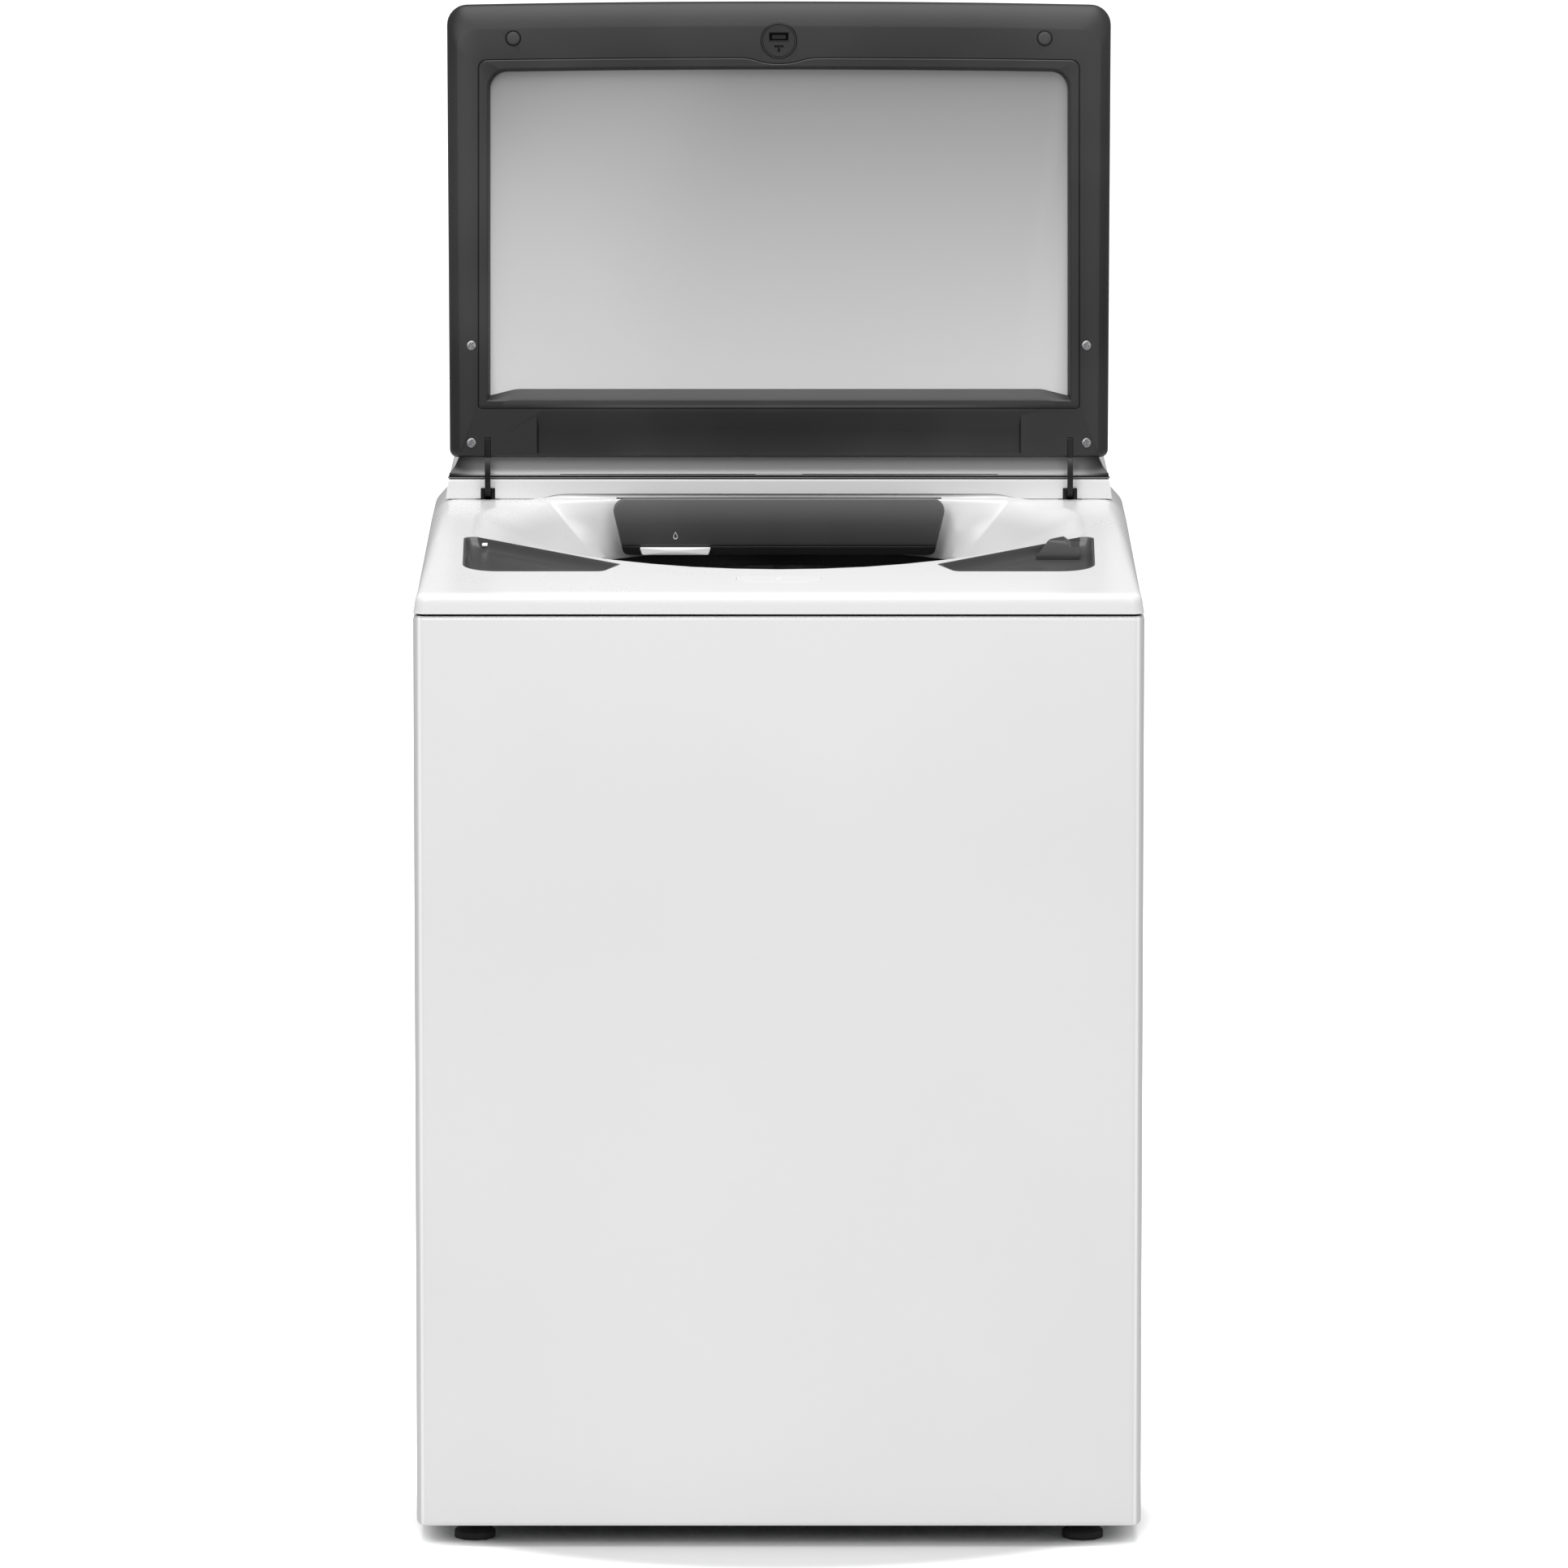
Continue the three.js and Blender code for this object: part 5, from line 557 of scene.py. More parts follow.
def piece(name, mesh, body, finish, replaces=(), sharp=35.0, bevel=0.0):
    """A finished piece: its mesh or shells, the body it rides on, its finish and the nodes it replaces."""
    if isinstance(mesh, list):
        mesh = mesh_of(name, mesh)
    mesh.materials.clear()
    mesh.materials.append(finish.material)
    mesh.shade_smooth()
    mesh.set_sharp_from_angle(angle=math.radians(sharp))
    made = linked(name, mesh)
    if bevel:
        rounding = made.modifiers.new("rounding", "BEVEL")
        rounding.width = bevel * MM
        rounding.segments = 3
        rounding.limit_method = "ANGLE"
        rounding.angle_limit = math.radians(sharp)
        rounding.harden_normals = True
    if replaces:
        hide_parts(*replaces)
        done.update(replaces)
    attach(made, body)
    return made


def cad_form(node):
    """A CAD node's mesh as a bmesh copy: its loose triangles are merged and flat neighbours joined."""
    form = bmesh.new()
    form.from_mesh(frame["nodes"][node].data)
    bmesh.ops.remove_doubles(form, verts=form.verts, dist=0.00001)
    bmesh.ops.dissolve_limit(
        form, angle_limit=math.radians(1.0), verts=form.verts, edges=form.edges,
        use_dissolve_boundaries=False)
    return form


def refined(node, finish, bevel=0.6, angle=32.0, cut=None):
    """A copy of a CAD node with its edges rounded; cut is a point in millimetres and the way to the
    part that is left out beyond it."""
    form = cad_form(node)
    if cut is not None:
        parted = bmesh.ops.bisect_plane(
            form, geom=form.verts[:] + form.edges[:] + form.faces[:], plane_co=np.array(cut[0]) * MM,
            plane_no=cut[1], clear_outer=True)
        rim = [entry for entry in parted["geom_cut"] if isinstance(entry, bmesh.types.BMEdge)]
        bmesh.ops.contextual_create(form, geom=rim)
    mesh = bpy.data.meshes.new("skin_" + node)
    form.to_mesh(mesh)
    form.free()
    return piece("skin_" + node, mesh, BODY_OF[node], finish, [node], angle, bevel)


def carved(name, shells, cutters):
    """A mesh of the shells with each cutter's volumes taken out by an exact Boolean."""
    target = linked(name, mesh_of(name, shells))
    tools = [linked("cutter", mesh_of("cutter", cutter)) for cutter in cutters]
    for tool in tools:
        cut = target.modifiers.new("cut", "BOOLEAN")
        cut.operation = "DIFFERENCE"
        cut.solver = "EXACT"
        cut.object = tool
    ready = target.evaluated_get(bpy.context.evaluated_depsgraph_get())
    mesh = bpy.data.meshes.new_from_object(ready)
    for made in [target, *tools]:
        bpy.data.objects.remove(made)
    return mesh


# ---- cabinet

CABINET_LOW, CABINET_HIGH = extent("cabinet_wrap")
FRONT = CABINET_LOW[1]
CABINET_REAR = CABINET_HIGH[1]
HALF = CABINET_HIGH[0]
CABINET_TOP = CABINET_HIGH[2]
CABINET_CORNER = 12.0
FLANGE = 20.0
GUSSET = 150.0
SHEET = 2.0
ROD_X, ROD_FRONT, ROD_REAR, ROD_HOLE = 292.5, -281.0, 250.0, 4.6
LEFT_AND_RIGHT = (-1, 1)


def mirrored(right):
    """Corners (x, y, radius) for both sides from those on the right, in order round the loop."""
    return [*right, *[(-x, y, radius) for x, y, radius in reversed(right)]]


def wall_row(inset):
    """The cabinet's sheet in plan, open at the rear: rear, corner plate, front corner, and mirrored."""
    half = HALF - inset
    right = [(half, CABINET_REAR, 0), (half, CABINET_REAR - FLANGE, 0), (half, CABINET_REAR - GUSSET, 0),
             (half, FRONT + GUSSET, 0), (half, FRONT + inset, max(CABINET_CORNER - inset, 0.5)),
             (HALF - GUSSET, FRONT + inset, 0)]
    return outline(mirrored(right))


def mouth_row():
    """The upper flange's inner edge: it crosses each corner, where a rod hangs from the plate."""
    half, plate = HALF - FLANGE, HALF - GUSSET
    right = [(plate, CABINET_REAR, 0), (plate, CABINET_REAR - FLANGE, 0), (half, CABINET_REAR - GUSSET, 0),
             (half, FRONT + GUSSET, 0), ((half + plate) / 2, FRONT + (FLANGE + GUSSET) / 2, 0),
             (plate, FRONT + FLANGE, 0)]
    return outline(mirrored(right))


def cabinet_shell():
    """The wrap: one closed section (inset, height) goes round three sides, with its lower and upper
    edges rolled on quarter circles and a flange inside each."""
    low, high = CABINET_LOW[2], CABINET_TOP
    turn = np.linspace(0, math.pi / 2, 7)
    foot = zip(6 - 6 * np.sin(turn), low + 6 - 6 * np.cos(turn))
    head = zip(4 - 4 * np.cos(turn), high - 4 + 4 * np.sin(turn))
    inner = [(5, high - SHEET), (SHEET, high - 5), (SHEET, low + 7), (7, low + SHEET), (FLANGE, low + SHEET)]
    outside, inside = ([(wall_row(inset), level) for inset, level in part]
                       for part in ([(FLANGE, low), *foot, *head], inner))
    rows = rows_of(*outside, (mouth_row(), high), (mouth_row(), high - SHEET), *inside)
    points, faces = skin(rows, around=False, joined=True)
    index = np.arange(rows.shape[0] * rows.shape[1]).reshape(rows.shape[:2])
    faces.append(index[:, [0, -1]].T)
    return points, faces


def rod_holes():
    hole = prism(ROD_HOLE * circle(20), CABINET_TOP - 5, CABINET_TOP + 3)
    return [moved(hole, side * ROD_X, y) for side in LEFT_AND_RIGHT for y in (ROD_FRONT, ROD_REAR)]


piece("cabinet_shell", carved("cabinet_shell", [cabinet_shell()], [rod_holes()]), "cabinet", CABINET_WHITE,
      ["cabinet_wrap"], 30)

# ---- deck

DECK_GAP = 2.4
DECK_BOTTOM = CABINET_TOP + DECK_GAP
DECK_EDGE = DECK_BOTTOM + 19.6  # top of the front face
DECK_ROLL = 8.0
DECK_WALL = 3.0
DECK_DEPTH = CABINET_REAR - FRONT
RISER = 491.0  # from the front face, as every setback is
OPENING_SETBACK = 329.0
OPENING_RADIUS = 200.0
REAR_REACH = 22.0  # how much wider the opening is in its rear half
OPENING_LEVEL = 918.94
SEAM_RISE = 5.0
STEP_ENDS, STEP_SETBACKS = (223, 250), (485.5, 490.5)
TAPER = 19.5  # how far the deck's upper edge stands in at the rear
DECK = Place((0, FRONT + DECK_ROLL, DECK_EDGE), DECK_SLOPE)


def deck_plane(setback):
    return DECK_EDGE + math.tan(math.radians(DECK_SLOPE)) * (np.minimum(setback, RISER) - DECK_ROLL)


SEAM = float(deck_plane(RISER))


def deck_height(plan):
    """The deck's plane, level behind the riser, and a soft step up to the seam over the dispenser."""
    x, setback = plan[:, 0], plan[:, 1]
    step = (1 - smooth(np.abs(x), *STEP_ENDS)) * smooth(setback, *STEP_SETBACKS)
    return deck_plane(setback) + SEAM_RISE * step


def seen_at(bearings, loop):
    """Where the rays from the opening's middle cross a closed loop: on the crossed side a to b the
    share is -a x d / (b - a) x d, with d the ray's direction."""
    away = loop - np.array([0, OPENING_SETBACK])
    bearing = np.arctan2(away[:, 1], away[:, 0])
    order = np.argsort(bearing)
    away, bearing = away[order], bearing[order]
    after = np.searchsorted(bearing, bearings) % len(bearing)
    start, end = away[after - 1], away[after]
    ray = directions(bearings)

    def cross(a, b):
        return a[:, 0] * b[:, 1] - a[:, 1] * b[:, 0]

    share = -cross(start, ray) / cross(end - start, ray)
    return start + share[:, None] * (end - start) + np.array([0, OPENING_SETBACK])


def bend(last, here, after, reach, steps=4):
    """Rows that turn at here on a quadratic curve, from reach before it to reach after it."""
    reach = np.broadcast_to(reach, len(here))[:, None]
    start, end = (here + unit(way) * np.minimum(reach, 0.49 * np.linalg.norm(way, axis=1, keepdims=True))
                  for way in (last - here, after - here))
    return [(1 - t) ** 2 * start + 2 * t * (1 - t) * here + t * t * end for t in np.linspace(0, 1, steps + 1)]


def deck_side(wall):
    """Rows from the opening's lip over the rim to the skirt, on rays from the opening's middle; the
    inner side of the wall lies wall millimetres within."""
    rim_loop = outline([*mirrored([(306, 303, 40), (300, 418, 70), (232, 487, 12)]), (0, 32.4, 292)], 10)
    upper = HALF - TAPER
    top_loop = outline(mirrored([(upper, DECK_DEPTH, 8), (upper, RISER, 60), (HALF - 2.5, 0, 12)]))
    skirt_loop = outline(mirrored([(HALF, DECK_DEPTH, 8), (HALF, 0, 12)]))
    middle = np.array([0, OPENING_SETBACK])
    corners = np.concatenate([rim_loop, top_loop, skirt_loop]) - middle
    bearings = np.concatenate([np.linspace(-math.pi, math.pi, 240, endpoint=False),
                               np.arctan2(corners[:, 1], corners[:, 0])])
    bearings = np.unique(np.round(bearings, 3))
    bearings = bearings[bearings < 3.141]
    ray = directions(bearings)

    def on_deck(plan):
        return level_row(plan, deck_height(plan) - wall)

    rear = smooth(bearings, 0.0, 0.35) * (1 - smooth(bearings, math.pi - 0.35, math.pi))
    ring_plan = middle + ray * (OPENING_RADIUS + REAR_REACH * rear + wall)[:, None]
    top_plan = seen_at(bearings, top_loop) - ray * wall
    skirt_plan = seen_at(bearings, skirt_loop) - ray * wall
    rim = on_deck(seen_at(bearings, rim_loop) + ray * wall)
    lip = level_row(ring_plan, OPENING_LEVEL - 3)
    ring = level_row(ring_plan, OPENING_LEVEL)
    drop = np.linalg.norm(rim[:, :2] - ring_plan, axis=1)
    waist = ring + (rim - ring) * 0.45
    waist[:, 2] -= 3 * smooth(drop, 10, 80)
    edge = on_deck(top_plan)
    side = level_row(0.75 * skirt_plan + 0.25 * top_plan, np.maximum(edge[:, 2] - 17.6, DECK_BOTTOM + 1.5))
    foot = level_row(skirt_plan, DECK_BOTTOM)
    round_rear = np.degrees(np.abs(np.angle(np.exp(1j * (bearings + math.pi / 2)))))
    soft = np.interp(round_rear, [0, 40, 55, 80, 88, 100, 115, 122, 127, 135, 180],
                     [4, 4, 7, 7, 10, 20, 18, 7, 6, 5, 5])
    way = edge - rim
    over_rim = bend(waist, rim, rim + 0.3 * way, soft, 5)
    over_edge = bend(rim + 0.7 * way, edge, side, 10, 6)
    shares = np.linspace(0, 1, 16)[1:-1] ** 1.3
    between = [on_deck((over_rim[-1] + share * (over_edge[0] - over_rim[-1]))[:, :2]) for share in shares]
    return [lip, ring, *bend(ring, waist, rim, 25, 4), *over_rim, *between, *over_edge,
            *bend(edge, side, foot, 6, 3), foot]


def in_machine(rows):
    """Rows of (x, setback, height) as (x, y, z)."""
    return np.stack(rows) + np.array([0, FRONT, 0])


def tray_outline(side, inset, run=1):
    """A tray in plan on the deck, each wall set in by its share of inset; y is the way up the slope."""
    slant = inset * 1.4
    corners = [(312 - inset, 294 - slant * 1.6, 8 - 0.4 * inset),
               (299 - inset * 0.4, 294 - slant * 1.2, 4 - 0.2 * inset), (155 + slant * 1.4, 154, 6),
               (172 + slant * 0.4, 117 + inset, 10), (309 - inset, 117 + inset, 36)]
    loop = outline(corners, 8, run) - np.array([0, DECK_ROLL])
    return loop * np.array([side, 1])


def channel(right, near, far):
    """The dispenser's channel: a section (x, z, radius) and its mirror image, between two setbacks."""
    loop = outline(mirrored(right))
    return skin(np.stack([upright_row(loop, FRONT + setback) for setback in (near, far)]), capped=True)


def block(x0, x1, y0, y1, z0, z1):
    """A cutter's box."""
    return prism(np.array([(x0, y0), (x1, y0), (x1, y1), (x0, y1)]), z0, z1)


LOCK_SETBACK = 79.7
ARM_X = 293.0
HOUSING_SETBACK = 489.5
CHANNEL_FLOOR = 921.2
HINGE = np.array(next(entry["pos_m"] for entry in frame["joints"] if entry["name"] == "lid_hinge")) / MM

outer_side = deck_side(0.0)
inner_side = deck_side(DECK_WALL)
deck_rows = in_machine([*outer_side, *reversed(inner_side)])
channel_mouth = channel([(149.5, CHANNEL_FLOOR, 1), (160.0, 975.6, 11)], 400, HOUSING_SETBACK)
channel_run = channel([(151.4, CHANNEL_FLOOR, 0.5), (163.7, 976.7, 0.5)], HOUSING_SETBACK - 0.5, 640)
wells = [DECK.out(prism(tray_outline(side, -0.3), -40, 15)) for side in LEFT_AND_RIGHT]
lock_middle = LOCK_SETBACK - DECK_ROLL
lock_loop = rectangle(-41.8, 41.8, lock_middle - 19.3, lock_middle + 19.3, 19.3, 10)
lock_well = DECK.out(prism(lock_loop, -15, 15))
hinge_wells = [block(side * ARM_X - 12, side * ARM_X + 12, FRONT + 489.3, HINGE[1] + 33, SEAM - 8, SEAM + 7)
               for side in LEFT_AND_RIGHT]
piece("deck_skin", carved("deck_skin", [skin(deck_rows, joined=True)],
                          [[channel_mouth], [channel_run], [*wells, lock_well, *hinge_wells]]),
      "cabinet", DECK_WHITE, ["top_deck"], 28)

seal_out = outline(mirrored([(HALF - 3.5, CABINET_REAR - 3.5, 1), (HALF - 3.5, FRONT + 3.5, 9)]))
seal_in = outline(mirrored([(HALF - 7, CABINET_REAR - 7, 1), (HALF - 7, FRONT + 7, 6)]))
piece("deck_seal", [skin(rows_of((seal_out, CABINET_TOP + 0.2), (seal_out, DECK_BOTTOM + 2),
                                 (seal_in, DECK_BOTTOM + 2), (seal_in, CABINET_TOP + 0.2)), joined=True)],
      "cabinet", SEAL_AND_SHADOW_BLACK)

# The splash shroud hangs below the opening's lip, clear of the tub ring at the top of its travel.
shroud = lathe([(226.6, 915.6), (226.6, 901.2), (227.2, 900.6), (228.0, 901.2), (228.0, 915.6),
                (226.6, 915.6)], 96)
piece("splash_shroud", [moved(shroud, 0, FRONT + OPENING_SETBACK)], "cabinet", BAND_BLACK)

# ---- trays

TRAY_DEPTH = 22.0
TRAY_FLOOR = 10.6
SLOT_PLACE, SLOT_TILT = (-285.0, 271.5, -5.2), 60  # on the left tray's rear wall, and degrees about x


def tray(side):
    """A tray: rows go up its outer wall, over a rounded lip and down sloping inner walls to the floor."""
    lip = [(0.0, -0.9), (0.25, -0.3), (0.9, 0.0), (1.6, -0.1), (2.1, -0.7)]
    inside = [(3.0, -3.2), (4.8, -6.4), (6.6, -8.6), (8.6, -9.8), (11.0, -10.5), (14.0, -10.9)]
    levels = [(0.0, -TRAY_DEPTH), *lip, *inside]
    rows = rows_of(*[(tray_outline(side, inset), level) for inset, level in levels])
    return DECK.out(skin(rows, capped=True))


for side, node in zip(LEFT_AND_RIGHT, ("softener_tray", "brush_tray")):
    piece("cup_" + node, [tray(side)], "cabinet", TRAY_GREY, [node], 24)

slot_loop = rectangle(-9, 9, -1.7, 1.7, 1.6)
slot_place = Place(DECK.out((np.array([SLOT_PLACE]), None))[0][0], SLOT_TILT)
piece("pouring_slot", [slot_place.out(skin(rows_of(
    (slot_loop, -2), (slot_loop, 0.5), (slot_loop * 0.9, 0.9)), capped=True))], "cabinet", BRIGHT_WHITE)

# ---- dispenser

PANEL_FACE = FRONT + 462.0
PANEL_BACK = PANEL_FACE + 7.0
DISPENSER_LOW, DISPENSER_HIGH = 921.5, 978.5
BAND_TOP = 930.5
SPOUT_X, DROP_PLACE = -104.2, (-104.0, 941.6)


def dispenser_half(height):
    return np.interp(height, [DISPENSER_LOW, DISPENSER_HIGH], [156.0, 169.5])


def dispenser_loop(low, high, low_radius, high_radius):
    corners = [(dispenser_half(low), low, low_radius), (dispenser_half(high), high, high_radius)]
    return outline(mirrored(corners), 10, 24)


def panel_lean(height):
    """How far the front stands back: its upper edge leans back and its lower edge rolls under."""
    share = (height - DISPENSER_LOW) / (DISPENSER_HIGH - DISPENSER_LOW)
    above, below = (share - 0.55) / 0.45, (0.2 - share) / 0.2
    return 3.2 * np.clip(above, 0, 1) ** 2.2 + 5.0 * np.clip(below, 0, 1) ** 1.6


def pillow(loop, spine_half, spine_height, edge):
    """A shell whose face is made of the outline drawn in to a line across its middle; the outermost
    edge millimetres turn back on a quarter circle."""
    spine = np.column_stack([np.clip(loop[:, 0], -spine_half, spine_half), np.full(len(loop), spine_height)])
    reach = np.linalg.norm(loop - spine, axis=1, keepdims=True)
    rows = [upright_row(loop, PANEL_BACK)]
    for turn in np.linspace(0, math.pi / 2, 6):
        ring = loop + (spine - loop) / reach * edge * (1 - math.cos(turn))
        rows.append(upright_row(ring, PANEL_FACE + edge * (1 - math.sin(turn)) + panel_lean(ring[:, 1])))
    inner = ring
    for share in np.linspace(0, 1, 15)[1:]:
        ring = inner + (spine - inner) * share
        rows.append(upright_row(ring, PANEL_FACE + panel_lean(ring[:, 1])))
    return skin(np.minimum(np.stack(rows), [np.inf, PANEL_BACK, np.inf]), capped=True)


piece("drawer_front", [pillow(dispenser_loop(BAND_TOP + 0.3, DISPENSER_HIGH, 1, 12), 140, 955, 1.2)],
      "dispenser_drawer", FRONT_GREY, ["dispenser_drawer"], 40)
refined("dispenser_drawer", FINISHES["dark_plastic"], 0.6, cut=((0, PANEL_BACK, 0), (0, -1, 0)))
piece("dispenser_band", [pillow(dispenser_loop(DISPENSER_LOW, BAND_TOP, 6.5, 0.3), 148, 926.5, 0.8)],
      "cabinet", BAND_BLACK, ["dispenser_housing"], 40)
refined("dispenser_housing", FINISHES["dark_plastic"], 0.6,
        cut=((0, FRONT + HOUSING_SETBACK + 0.4, 0), (0, -1, 0)))

spout_loop = outline([(-33.5, 922.6, 2), (33.5, 922.6, 2), (35.6, 929.8, 1), (-35.6, 929.8, 1)])
heart = np.array([0, 926.2])
spout_rows = [upright_row((spout_loop - heart) * grow + heart + np.array([SPOUT_X, 0]), PANEL_FACE + back)
              for grow, back in ((1, 6), (1, -4.2), (0.985, -4.8), (0.95, -5), (0.0, -5))]
piece("faucet_lip", [skin(np.stack(spout_rows), capped=True)], "cabinet", BRIGHT_WHITE, ["faucet_spout"], 40)

turn = np.linspace(0, 2 * math.pi, 60, endpoint=False)
drop_shape = np.column_stack([2.9 * np.sin(turn) * np.sin(turn / 2) ** 1.1, 3.8 * np.cos(turn)])
drop_loops = [drop_shape * grow + np.array(DROP_PLACE) for grow in (1, 0.72)]
drop_rows = [upright_row(drop_loops[inner], PANEL_FACE + panel_lean(drop_loops[inner][:, 1]) + back)
             for inner, back in ((0, 0.2), (0, -0.08), (1, -0.08), (1, 0.2))]
piece("drop_mark", [skin(np.stack(drop_rows), joined=True)], "dispenser_drawer", MARK_WHITE)

# ---- console

RISER_FACE = FRONT + RISER
RISER_TOP = SEAM + 20.0
FASCIA_LIP = SEAM + 26.5

refined("console_housing", RISER_WHITE, 1.2)
refined("control_fascia", FASCIA_GREY, 0.8)


def bar(name, half, y0, y1, z0, z1, finish, middle=0.0, radius=0.35):
    """A long bar across the machine with rounded edges and round ends, made by drawing its ends in."""
    section = rectangle(y0, y1, z0, z1, radius, 3)
    heart = np.array([(y0 + y1) / 2, (z0 + z1) / 2])
    ends = [(1 - math.cos(a), math.sin(a)) for a in np.linspace(0.15, math.pi / 2, 5)]
    deep = (z1 - z0) / 2
    stations = [(-half + deep * step, grow) for step, grow in ends]
    stations += [(half - deep * step, grow) for step, grow in reversed(ends)]
    rows = [np.column_stack([np.full(len(section), middle + x), heart + (section - heart) * grow])
            for x, grow in stations]
    return piece(name, [skin(np.stack(rows), capped=True)], "cabinet", finish)


# A black bar in the recess below the fascia's lip: painted shadow in the gap.
bar("console_shadow", 332.5, RISER_FACE + 1.0, RISER_FACE + 8, RISER_TOP + 0.1, FASCIA_LIP - 1.2, SEAL_AND_SHADOW_BLACK)
bar("console_trim", 333.6, RISER_FACE + 0.2, RISER_FACE + 6, RISER_TOP + 1.0, RISER_TOP + 2.2, TRIM_GREY)
bar("fascia_lip", 332.0, RISER_FACE - 0.2, RISER_FACE + 4.5, FASCIA_LIP - 2.7, FASCIA_LIP + 0.4,
    FASCIA_GREY, 0, 0.9)
for side in LEFT_AND_RIGHT:
    bar(f"fascia_slot_{'left' if side < 0 else 'right'}", 98.6, RISER_FACE - 0.3, RISER_FACE + 2,
        FASCIA_LIP - 1.7, FASCIA_LIP - 0.8, SEAL_AND_SHADOW_BLACK, side * 122.0)

# ---- lid

LID = Place(HINGE, DECK_SLOPE - 102.0)
LID_EDGE = -16.5  # hinge axis to the lid's rear edge; u runs forward from there
LID_LENGTH = 459.0
UNDERSIDE = -21.7
LID_TOP = -5.7
CROWN = 3.6  # how much further forward the front edge is in the middle than at its corners


def lid_loop(front_half, rear_half, rear, front, front_radius, rear_radius, crown=0.0, notch=0.0, dip=0.0):
    """A lid outline in plan (x, u): straight sides, a bowed front edge, a notch for the strike, and a
    rear edge that drops back by dip at both ends."""
    corners = [(rear_half - 26, rear + dip, 40), (rear_half, rear, rear_radius),
               (front_half, front, front_radius), (32, front, 60), (11, front - notch, 60)]
    loop = outline(mirrored(corners), 8, 14)
    bow = crown * np.clip(np.abs(loop[:, 0]) / front_half, 0, 1) ** 2
    loop[:, 1] -= bow * smooth(loop[:, 1], front - 60, front - 10)
    return np.column_stack([loop[:, 0], LID_EDGE - loop[:, 1]])


def rim_row(share, top=0.0):
    """The lid's outer edge at a share of its height: the front curls in by 27 and the sides by 11
    times powers of what is left below the widest level."""
    left = max(1 - share / 0.88, 0)
    front_in, side_in = 27 * left ** 2.0 + 2.5 * top, 11 * left ** 3.2 + 2.5 * top
    loop = lid_loop(334.4 - side_in, 331.3 - side_in, 1.5 * left + top, LID_LENGTH - front_in, 20, 8, CROWN)
    return loop, UNDERSIDE + share * (LID_TOP - UNDERSIDE)


def lid_frame():
    """The outer frame: from the glass seat down to the underside, round the rim and over the top."""
    seat = lid_loop(302.3, 302.3, 48.7, 401.3, 8, 3, 2.4, 6.0)
    window = lid_loop(288.5, 288.5, 58, 388, 16, 3, 2.4)
    edge = lid_loop(303.1, 303.1, 47.9, 402.1, 8.5, 3, 2.4, 6.0)
    rim = [rim_row(share) for share in (0, 0.03, 0.08, 0.15, 0.24, 0.35, 0.48, 0.62, 0.76, 0.88)]
    top = [rim_row(0.94, 0.25), rim_row(0.985, 0.62), rim_row(1.0, 1.0)]
    rows = rows_of((window, -9.7), (seat, -9.7), (seat, UNDERSIDE + 0.8), (edge, UNDERSIDE), *rim, *top,
                   (lid_loop(289.5, 289.5, 57, 389, 16.5, 3.5, 2.4), LID_TOP), (window, LID_TOP - 1))
    return skin(rows, joined=True)


def frustum(low_loop, high_loop, low, high):
    return skin(rows_of((low_loop, low), (high_loop, high)), capped=True)


def flat(x0, x1, u0, u1, radius):
    """A rounded rectangle on the lid."""
    return rectangle(x0, x1, LID_EDGE - u0, LID_EDGE - u1, radius)


def disc(radius, x, u):
    return np.array([x, LID_EDGE - u]) + radius * circle(40)


def pocket(loop, depth):
    """A cutter from below the lid's underside to a depth in it."""
    return prism(loop, UNDERSIDE - 1, UNDERSIDE + depth)


def on_underside(shell, x, u):
    """A shell with its origin brought to a place on the lid's underside."""
    return moved(shell, x, LID_EDGE - u, UNDERSIDE)


BUMPER = (267.3, 421.0)
STRIKE = (0.0, 418.5)
relief = frustum(flat(-244, 244, 1.6, 46, 3), flat(-241.5, 241.5, 4.6, 28, 1.5),
                 UNDERSIDE - 1, UNDERSIDE + 5.2)
seats = [pocket(disc(18.4, *STRIKE), 8.4)]
seats += [pocket(disc(4.4, side * BUMPER[0], BUMPER[1]), 7.4) for side in LEFT_AND_RIGHT]
seats += [pocket(flat(side * ARM_X - 3.1, side * ARM_X + 3.1, -3, 19.4, 0.4), 9.3) for side in LEFT_AND_RIGHT]


def on_lid(mesh):
    """Brings a mesh that was made flat to its place on the open lid."""
    points = np.empty(len(mesh.vertices) * 3)
    mesh.vertices.foreach_get("co", points)
    points = points.reshape(-1, 3) @ LID.turn.T + LID.origin * MM
    mesh.vertices.foreach_set("co", points.ravel())
    return mesh


piece("lid_frame", on_lid(carved("lid_frame", [lid_frame()], [[relief], seats])), "lid", LID_GREY,
      ["lid_outer_frame"], 26)


def liner():
    """The liner: its underside carries a raised lip at each edge, and its inner wall slopes to the
    glass, steeply on three sides and in a long ramp at the rear."""
    def opening(half, rear, front, dip, front_radius):
        return lid_loop(half, half, rear, front, front_radius, 0.8, 2.4, 0.0, dip)

    outer = lid_loop(302, 302, 49, 401, 8, 2.5, 2.4, 6.0)
    bevel = lid_loop(301.2, 301.2, 49.8, 400.2, 7.2, 2.2, 2.4, 6.0)
    rows = rows_of(
        (opening(290.5, 62, 390, 6.5, 17), -14.3), (outer, -14.3), (outer, -21.5), (bevel, -22.1),
        (opening(294.2, 55.8, 393.2, 0, 18), -22.1), (opening(293.2, 56.4, 392.3, 0.8, 18), -21.6),
        (opening(292.3, 57.5, 391.6, 2.5, 18), -20.0), (opening(291.3, 59.6, 390.8, 5.0, 17.5), -17.0))
    return skin(rows, joined=True)


piece("lid_liner", [LID.out(liner())], "lid", LINER_GREY, ["lid_inner_frame"], 22)

